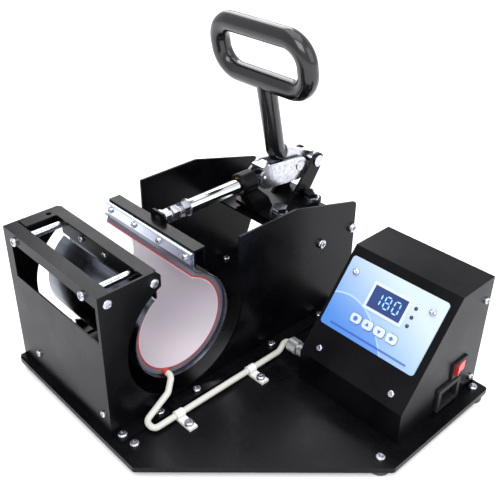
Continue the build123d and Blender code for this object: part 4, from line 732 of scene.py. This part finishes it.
@dataclass
class MatLayer:
    """One curved layer of the heating mat.

    Args:
        name: The piece's name.
        node: The frame's node that it stands for.
        inner: Inner radius, in metres.
        thickness: Thickness, in metres.
        length: Length along the mug's axis, in metres.
        left: Angle of its left edge from straight up, in degrees.
        right: Angle of its right edge, in degrees.
        flanges: Heights of the left and right flange tops, or nothing.
        flange_ends: Where the flanges end along X, in metres.
    """

    name: str
    node: str
    inner: float
    thickness: float
    length: float
    left: float
    right: float
    flanges: tuple[float, float] | None = None
    flange_ends: tuple[float, float] = (0.0, 0.0)

    def build(self, axis: Place) -> bpy.types.Object:
        """Makes the layer round the mug's axis.

        Args:
            axis: The middle of the mug's axis.

        Returns:
            The piece.
        """
        clear_selection()
        bpy.ops.mesh.primitive_cylinder_add(
            vertices=round(360 / MESH_STEP), radius=self.inner, depth=self.length, end_fill_type="NOTHING",
            location=axis, rotation=(0.0, pi / 2, 0.0))
        piece = take(self.name)
        settle(piece)
        bpy.ops.object.mode_set(mode="EDIT")
        choose(piece, "faces", lambda face: self._in_mouth(face.calc_center_median(), axis))
        bpy.ops.mesh.delete(type="FACE")
        self._true_up(piece, axis)
        if self.flanges:
            for end in self.flange_ends:
                bpy.ops.mesh.select_all(action="SELECT")
                bpy.ops.mesh.bisect(plane_co=(end, 0.0, 0.0), plane_no=(1.0, 0.0, 0.0))
            for side, top in ((-1, self.flanges[0]), (1, self.flanges[1])):
                self._fold(piece, axis, side, top)
        bpy.ops.object.mode_set(mode="OBJECT")
        apply_modifier(piece, "SOLIDIFY", {"thickness": self.thickness, "offset": 1.0, "use_even_offset": True})
        apply_modifier(piece, "BEVEL", {"width": min(0.0003, self.thickness * 0.3), "segments": 2,
                                        "limit_method": "ANGLE", "angle_limit": radians(50)})
        smooth(piece)
        return piece

    def _angle(self, point: Vector, axis: Place) -> float:
        """The angle of a point from straight up, towards +Y, in degrees."""
        return degrees(atan2(point.y - axis[1], point.z - axis[2]))

    def _in_mouth(self, point: Vector, axis: Place) -> bool:
        """Whether a point lies in the mat's open mouth."""
        return self.left < self._angle(point, axis) < self.right

    def _true_up(self, piece: bpy.types.Object, axis: Place) -> None:
        """Moves the mouth's edges to their exact angles.

        Args:
            piece: The piece, in edit mode.
            axis: The middle of the mug's axis.
        """
        bpy.ops.object.mode_set(mode="OBJECT")
        for vertex in piece.data.vertices:
            for limit in (self.left, self.right):
                if abs(self._angle(vertex.co, axis) - limit) < MESH_STEP / 2:
                    vertex.co.y = axis[1] + self.inner * sin(radians(limit))
                    vertex.co.z = axis[2] + self.inner * cos(radians(limit))
        bpy.ops.object.mode_set(mode="EDIT")

    def _fold(self, piece: bpy.types.Object, axis: Place, side: int, top: float) -> None:
        """Folds the mouth's edge up into a flange.

        Args:
            piece: The piece, in edit mode.
            axis: The middle of the mug's axis.
            side: -1 for the left edge and 1 for the right one.
            top: Height of the flange's top.
        """
        limit = self.left if side < 0 else self.right

        def at_edge(edge: bmesh.types.BMEdge) -> bool:
            """Whether an edge bounds the mouth on this side."""
            middle = (edge.verts[0].co + edge.verts[1].co) / 2
            along = abs(edge.verts[0].co.x - edge.verts[1].co.x) > self.length / 2
            near = abs(self._angle(middle, axis) - limit) < MESH_STEP / 2
            return edge.is_boundary and along and near and middle.z < axis[2] + self.inner

        choose(piece, "edges", at_edge)
        foot = axis[2] + self.inner * cos(radians(limit))
        bpy.ops.mesh.extrude_region_move(TRANSFORM_OT_translate={"value": (0.0, 0.0, top - foot)})


LINER, HEATER, SPONGE, SHEET = 0.0008, 0.0015, 0.0042, 0.0008  # thicknesses, from the inside out
RIGHT_FLANGE = 0.016  # middle of the right flange behind the mug's axis
FLANGE_STEP = 0.003  # left flange's top under the right one's
EDGE_GAP = 1.1  # degrees from the sheet's flanges to the mat's edges
LEAD_OFFSET = (-0.0185, -0.0408)  # the lead's place from the mug's axis, along Y and Z
BOOT_RADIUS, BOOT_LENGTH = 0.0031, 0.004  # the boot where the lead leaves the mat


@dataclass
class HeatingMat:
    """The mat's four layers, fixed at the left and drawn open by the clamp at the right.

    Args:
        radius: The mug's bore radius, in metres.
        length: The mat's length, in metres.
        sheet_length: The backing sheet's length, in metres.
    """

    radius: float = 0.0415
    length: float = 0.124
    sheet_length: float = 0.134
    pieces: list[bpy.types.Object] = field(default_factory=list)

    def build(self) -> None:
        """Makes the layers from the inside out."""
        low, high = (Vector(corner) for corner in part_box("heater_liner"))
        strip_low, strip_high = (Vector(corner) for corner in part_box("right_clamp_strip"))
        left_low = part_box("left_clamp_strip")[0]
        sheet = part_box("backing_sheet")
        axis = ((low.x + high.x) / 2, (low.y + high.y) / 2, low.z + self.radius + LINER)
        reach = self.radius + LINER + HEATER + SPONGE
        left = degrees(asin((left_low[1] - axis[1]) / reach))
        right = degrees(asin((RIGHT_FLANGE - SHEET / 2) / reach))
        edges = (left - EDGE_GAP, right + EDGE_GAP)
        layers = [
            MatLayer("mat_liner", "heater_liner", self.radius, LINER, self.length, *edges),
            MatLayer("mat_heater", "heater_mat", self.radius + LINER, HEATER, self.length, *edges),
            MatLayer("mat_sponge", "insulation_layer", self.radius + LINER + HEATER, SPONGE, self.length,
                     *edges),
            MatLayer("mat_backing", "backing_sheet", reach, SHEET, self.sheet_length, left, right,
                     flanges=(sheet[1][2] - FLANGE_STEP, sheet[1][2]), flange_ends=(strip_low.x, strip_high.x)),
        ]
        for layer in layers:
            piece = layer.build(axis)
            if layer.node == "heater_mat":
                piece = join_all([piece, self._boot(axis)], layer.name)
            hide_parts(layer.node)
            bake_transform(piece)
            self.pieces.append(piece)
            LOG.info("mat layer %s, %d faces", layer.name, len(piece.data.polygons))

    def _boot(self, axis: Place) -> bpy.types.Object:
        """Makes the moulded boot where the lead leaves the mat.

        Args:
            axis: The middle of the mug's axis.

        Returns:
            The piece.
        """
        clear_selection()
        bpy.ops.mesh.primitive_cylinder_add(
            vertices=32, radius=BOOT_RADIUS, depth=BOOT_LENGTH, rotation=(0.0, pi / 2, 0.0),
            location=(axis[0] + (self.length + BOOT_LENGTH) / 2, axis[1] + LEAD_OFFSET[0],
                      axis[2] + LEAD_OFFSET[1]))
        boot = take("mat_boot")
        settle(boot)
        smooth(boot)
        return boot

    def dress(self, materials: dict[str, bpy.types.Material]) -> None:
        """Gives each layer its finish.

        Args:
            materials: The materials by slot.
        """
        for piece, slot in zip(self.pieces, ("white_liner", "red_silicone", "sponge", "spring_steel")):
            wear(piece, materials[slot])


# ---------------------------------------------------------------- control panel
SEGMENTS = {"0": "abcdef", "1": "bc", "8": "abcdefg"}
SEGMENT_PLACES = {
    "a": (0.0, 1.0, True), "b": (0.5, 0.5, False), "c": (0.5, -0.5, False), "d": (0.0, -1.0, True),
    "e": (-0.5, -0.5, False), "f": (-0.5, 0.5, False), "g": (0.0, 0.0, True),
}


DISPLAY_SIZE = (0.033, 0.0195)  # the display window's opening
FILM_TOP = 0.001  # the film's face over the panel plate's back
FRAME_RISE = 0.0005
DISPLAY_UP, DISPLAY_FACE = 0.041, 0.0017  # the display's middle up the slope, and the digits' height over it
KEYS_UP, KEY_FACE = 0.0175, 0.00262  # the same for the keys and their marks
MARK_RADIUS, MARK_THICKNESS = 0.0021, 0.00012
DIGIT_PITCH = 1.75  # digit widths from one digit to the next


@dataclass
class PanelDetail:
    """The lit digits and the marks on the keys.

    Args:
        digits: What the display shows.
        digit_width: A digit's width, in metres.
        digit_height: A digit's height, in metres.
        stroke: A segment's width, in metres.
        frame_width: Width of the rim round the display window, in metres.
    """

    digits: str = "180"
    digit_width: float = 0.0052
    digit_height: float = 0.0104
    stroke: float = 0.0013
    frame_width: float = 0.0026
    lit: list[bpy.types.Object] = field(default_factory=list)
    frames: list[bpy.types.Object] = field(default_factory=list)
    marks: list[bpy.types.Object] = field(default_factory=list)

    def build(self, slope: Slope) -> None:
        """Makes the digits' segments and the key marks.

        Args:
            slope: The panel's plane.
        """
        low, high = (Vector(corner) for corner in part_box("display_unit"))
        middle = (low.x + high.x) / 2
        top = self._lens_middle(slope, middle)
        pieces = []
        for index, digit in enumerate(self.digits):
            shift = (index - 1) * self.digit_width * DIGIT_PITCH
            for key in SEGMENTS[digit]:
                pieces.append(self._segment(slope, top + Vector((shift, 0, 0)), key))
        self.lit.append(join_all(pieces, "display_digits"))
        self.frames.append(self._frame(slope, middle))
        for index in range(4):
            self.marks.append(self._mark(slope, index))
        for piece in self.lit + self.frames:
            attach(piece, "root")
        LOG.info("display digits %s and %d key marks", self.digits, len(self.marks))

    def _frame(self, slope: Slope, across: float) -> bpy.types.Object:
        """Makes the pale rim round the display window.

        Args:
            slope: The panel's plane.
            across: The window's middle along X.

        Returns:
            The piece.
        """
        middle = Vector((across, 0, 0)) + Vector((0, 1, 1)) * slope.at(0.0, DISPLAY_UP, FILM_TOP)
        half_width, half_height = DISPLAY_SIZE[0] / 2, DISPLAY_SIZE[1] / 2
        wide = (DISPLAY_SIZE[0] + 2 * self.frame_width, self.frame_width)
        tall = (self.frame_width, DISPLAY_SIZE[1])
        bars = []
        for side in (-1, 1):
            up = side * (half_height + self.frame_width / 2)
            along = side * (half_width + self.frame_width / 2)
            bars.append((middle + slope.up() * up, wide))
            bars.append((middle + Vector((along, 0, 0)), tall))
        pieces = []
        for spot, size in bars:
            clear_selection()
            bpy.ops.mesh.primitive_cube_add(size=1.0, location=spot + slope.out() * (FRAME_RISE / 2),
                                            rotation=slope.turn().to_euler())
            piece = take("rim")
            piece.scale = (*size, FRAME_RISE)
            settle(piece)
            pieces.append(piece)
        rim = join_all(pieces, "display_rim")
        apply_modifier(rim, "BEVEL", {"width": 0.0001, "segments": 2, "limit_method": "ANGLE"})
        return rim

    def _lens_middle(self, slope: Slope, across: float) -> Vector:
        """The middle of the display window's outer face."""
        return Vector((across, 0, 0)) + Vector((0, 1, 1)) * slope.at(0.0, DISPLAY_UP, DISPLAY_FACE)

    def _segment(self, slope: Slope, middle: Vector, key: str) -> bpy.types.Object:
        """Makes one bar of a digit, with pointed ends.

        Args:
            slope: The panel's plane.
            middle: The digit's middle.
            key: Which segment it is.

        Returns:
            The piece.
        """
        across, up, flat = SEGMENT_PLACES[key]
        turn = slope.turn().to_euler()
        spot = middle + Vector((across * self.digit_width, 0, 0)) + slope.up() * (up * self.digit_height / 2)
        length = self.digit_width if flat else self.digit_height / 2
        clear_selection()
        bpy.ops.mesh.primitive_cylinder_add(vertices=6, radius=0.5, depth=MARK_THICKNESS, location=spot,
                                            rotation=turn)
        piece = take("segment")
        size = (length * 0.84, self.stroke, 1.0) if flat else (self.stroke, length * 0.84, 1.0)
        piece.scale = size
        settle(piece)
        return piece

    def _mark(self, slope: Slope, index: int) -> bpy.types.Object:
        """Makes the raised mark on a key: a disc, a triangle or a diamond.

        Args:
            slope: The panel's plane.
            index: The key's number, from 0.

        Returns:
            The piece.
        """
        low, high = (Vector(corner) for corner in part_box(f"button_{index + 1}"))
        across = (low.x + high.x) / 2
        spot = Vector((across, 0, 0)) + Vector((0, 1, 1)) * slope.at(0.0, KEYS_UP, KEY_FACE)
        corners = (24, 3, 3, 4)[index]
        turn = slope.turn().to_euler()
        clear_selection()
        bpy.ops.mesh.primitive_cylinder_add(vertices=corners, radius=MARK_RADIUS, depth=MARK_THICKNESS,
                                            location=spot, rotation=turn)
        piece = take(f"key_mark_{index + 1}")
        if index == 2:
            piece.scale = (1.0, -1.0, 1.0)
        settle(piece)
        bpy.ops.object.mode_set(mode="EDIT")
        bpy.ops.mesh.select_all(action="SELECT")
        bpy.ops.mesh.normals_make_consistent(inside=False)
        bpy.ops.object.mode_set(mode="OBJECT")
        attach(piece, f"key_{index + 1}")
        return piece

    def dress(self, materials: dict[str, bpy.types.Material]) -> None:
        """Gives the digits and marks their finishes.

        Args:
            materials: The materials by slot.
        """
        for piece in self.lit:
            wear(piece, materials["digit_glow"])
        for piece in self.frames:
            wear(piece, materials["blue_key"])
        for piece in self.marks:
            wear(piece, materials["key_print"])


def join_all(pieces: list[bpy.types.Object], name: str) -> bpy.types.Object:
    """Joins pieces into one.

    Args:
        pieces: The pieces.
        name: The joined piece's name.

    Returns:
        The joined piece.
    """
    clear_selection()
    for piece in pieces:
        piece.select_set(True)
    bpy.context.view_layer.objects.active = pieces[0]
    bpy.ops.object.join()
    return take(name)


# ---------------------------------------------------------------- metal and plastic pieces
@dataclass
class PressBody:
    """Everything whose shape comes straight from the frame."""

    own: dict[str, str] = field(default_factory=lambda: {
        "spindle_stud": "stud_thread", "lead_plug": "plug_metal", "plug_nut": "plug_metal"})

    def dress(self, materials: dict[str, bpy.types.Material]) -> None:
        """Gives each node of the frame the finish of its slot.

        Args:
            materials: The materials by slot.
        """
        for part in frame["record"]["subparts"]:
            name = part["node"]
            piece = frame["nodes"][name]
            material = materials[self.own.get(name, part["material_slot"])]
            piece.data.materials.clear()
            piece.data.materials.append(material)
            LOG.info("node %s wears %s", name, material.name)


# ---------------------------------------------------------------- studio
@dataclass
class Studio:
    """The floor, the lights and the camera.

    Args:
        azimuth: Camera's bearing from the front, in degrees.
        elevation: Camera's height angle, in degrees.
        distance: From the target, in metres.
        lens: Focal length, in millimetres.
    """

    azimuth: float = 47.67
    elevation: float = 30.88
    distance: float = 0.7818
    lens: float = 53.7
    target: Place = (-0.1289, 0.0823, 0.0632)
    shift: tuple[float, float] = (0.0375, -0.0282)

    def build(self) -> None:
        """Makes the floor, lights, world and camera."""
        self._floor()
        self._light("key", (0.9, -1.1, 1.5), 1.2, 26.0)
        self._light("fill", (1.6, 0.6, 0.9), 1.4, 12.0)
        self._light("back", (-1.2, 0.9, 1.3), 1.0, 14.0)
        self._light("top", (-0.1, 0.1, 1.9), 1.6, 18.0)
        self._world()
        self._camera()
        LOG.info("studio set")

    def _floor(self) -> None:
        """Lays a wide pale floor."""
        clear_selection()
        bpy.ops.mesh.primitive_plane_add(size=12.0, location=(0.0, 0.0, 0.0))
        floor = take("floor")
        settle(floor)
        material = bpy.data.materials.new("floor_paper")
        material.use_nodes = True
        shader = material.node_tree.nodes["Principled BSDF"]
        shader.inputs["Base Color"].default_value = (0.95, 0.95, 0.96, 1.0)
        shader.inputs["Roughness"].default_value = 0.8
        floor.data.materials.append(material)

    def _light(self, name: str, place: Place, size: float, power: float) -> None:
        """Adds a square area light that faces the press.

        Args:
            name: The light's name.
            place: Its place, in metres.
            size: Its side, in metres.
            power: Its power, in watts.
        """
        light = bpy.data.lights.new(name, "AREA")
        light.size = size
        light.energy = power
        lamp = bpy.data.objects.new(name, light)
        lamp.location = place
        lamp.rotation_euler = (Vector((0, 0, 0.1)) - Vector(place)).to_track_quat("-Z", "Y").to_euler()
        bpy.context.scene.collection.objects.link(lamp)

    def _world(self) -> None:
        """Lights the room with an even pale grey."""
        world = bpy.data.worlds.new("studio")
        world.use_nodes = True
        world.node_tree.nodes["Background"].inputs["Color"].default_value = (0.95, 0.96, 1.0, 1.0)
        world.node_tree.nodes["Background"].inputs["Strength"].default_value = 0.95
        bpy.context.scene.world = world

    def _camera(self) -> None:
        """Sets the camera."""
        bearing, height = radians(self.azimuth), radians(self.elevation)
        back = Vector((sin(bearing) * cos(height), -cos(bearing) * cos(height), sin(height)))
        lens = bpy.data.cameras.new("camera")
        lens.lens = self.lens
        lens.sensor_width = 36.0
        lens.shift_x, lens.shift_y = self.shift
        camera = bpy.data.objects.new("camera", lens)
        camera.location = Vector(self.target) + back * self.distance
        camera.rotation_euler = (-back).to_track_quat("-Z", "Y").to_euler()
        bpy.context.scene.collection.objects.link(camera)
        bpy.context.scene.camera = camera
        bpy.context.scene.view_settings.view_transform = "Standard"


def make_materials(slope: Slope) -> dict[str, bpy.types.Material]:
    """Makes the shared groups and every material.

    Args:
        slope: The panel's plane.

    Returns:
        The materials by slot.
    """
    GROUPS.update(powder=powder_group(), brushed=brushed_group(), weave=weave_group(), smudge=smudge_group(),
                  dust=dust_group())
    materials = {finish.name: finish.build() for finish in FINISHES}
    materials["panel_film"] = PanelFilm(slope).build()
    materials["display_lens"] = DisplayLens().build()
    materials["digit_glow"] = Glow("digit_glow", (0.16, 0.36, 0.95), 0.9).build()
    materials["key_print"] = Glow("key_print", (0.03, 0.10, 0.42), 0.0).build()
    return materials


def panel_slope() -> Slope:
    """Finds the control panel's plane from the frame.

    Returns:
        The plane, from the panel plate's lower left corner.
    """
    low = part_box("control_panel")[0]
    return Slope(low=(low[0], low[1] + FILM_TOP * Slope.run[1] / hypot(*Slope.run), low[2]))


def main() -> None:
    """Builds and dresses the press in order."""
    logging.basicConfig(level=logging.INFO, format="%(name)s: %(message)s")
    slope = panel_slope()
    materials = make_materials(slope)
    Studio().build()
    PressBody().dress(materials)
    mat = HeatingMat()
    mat.build()
    mat.dress(materials)
    panel = PanelDetail()
    panel.build(slope)
    panel.dress(materials)


if __name__ == "__main__":
    main()
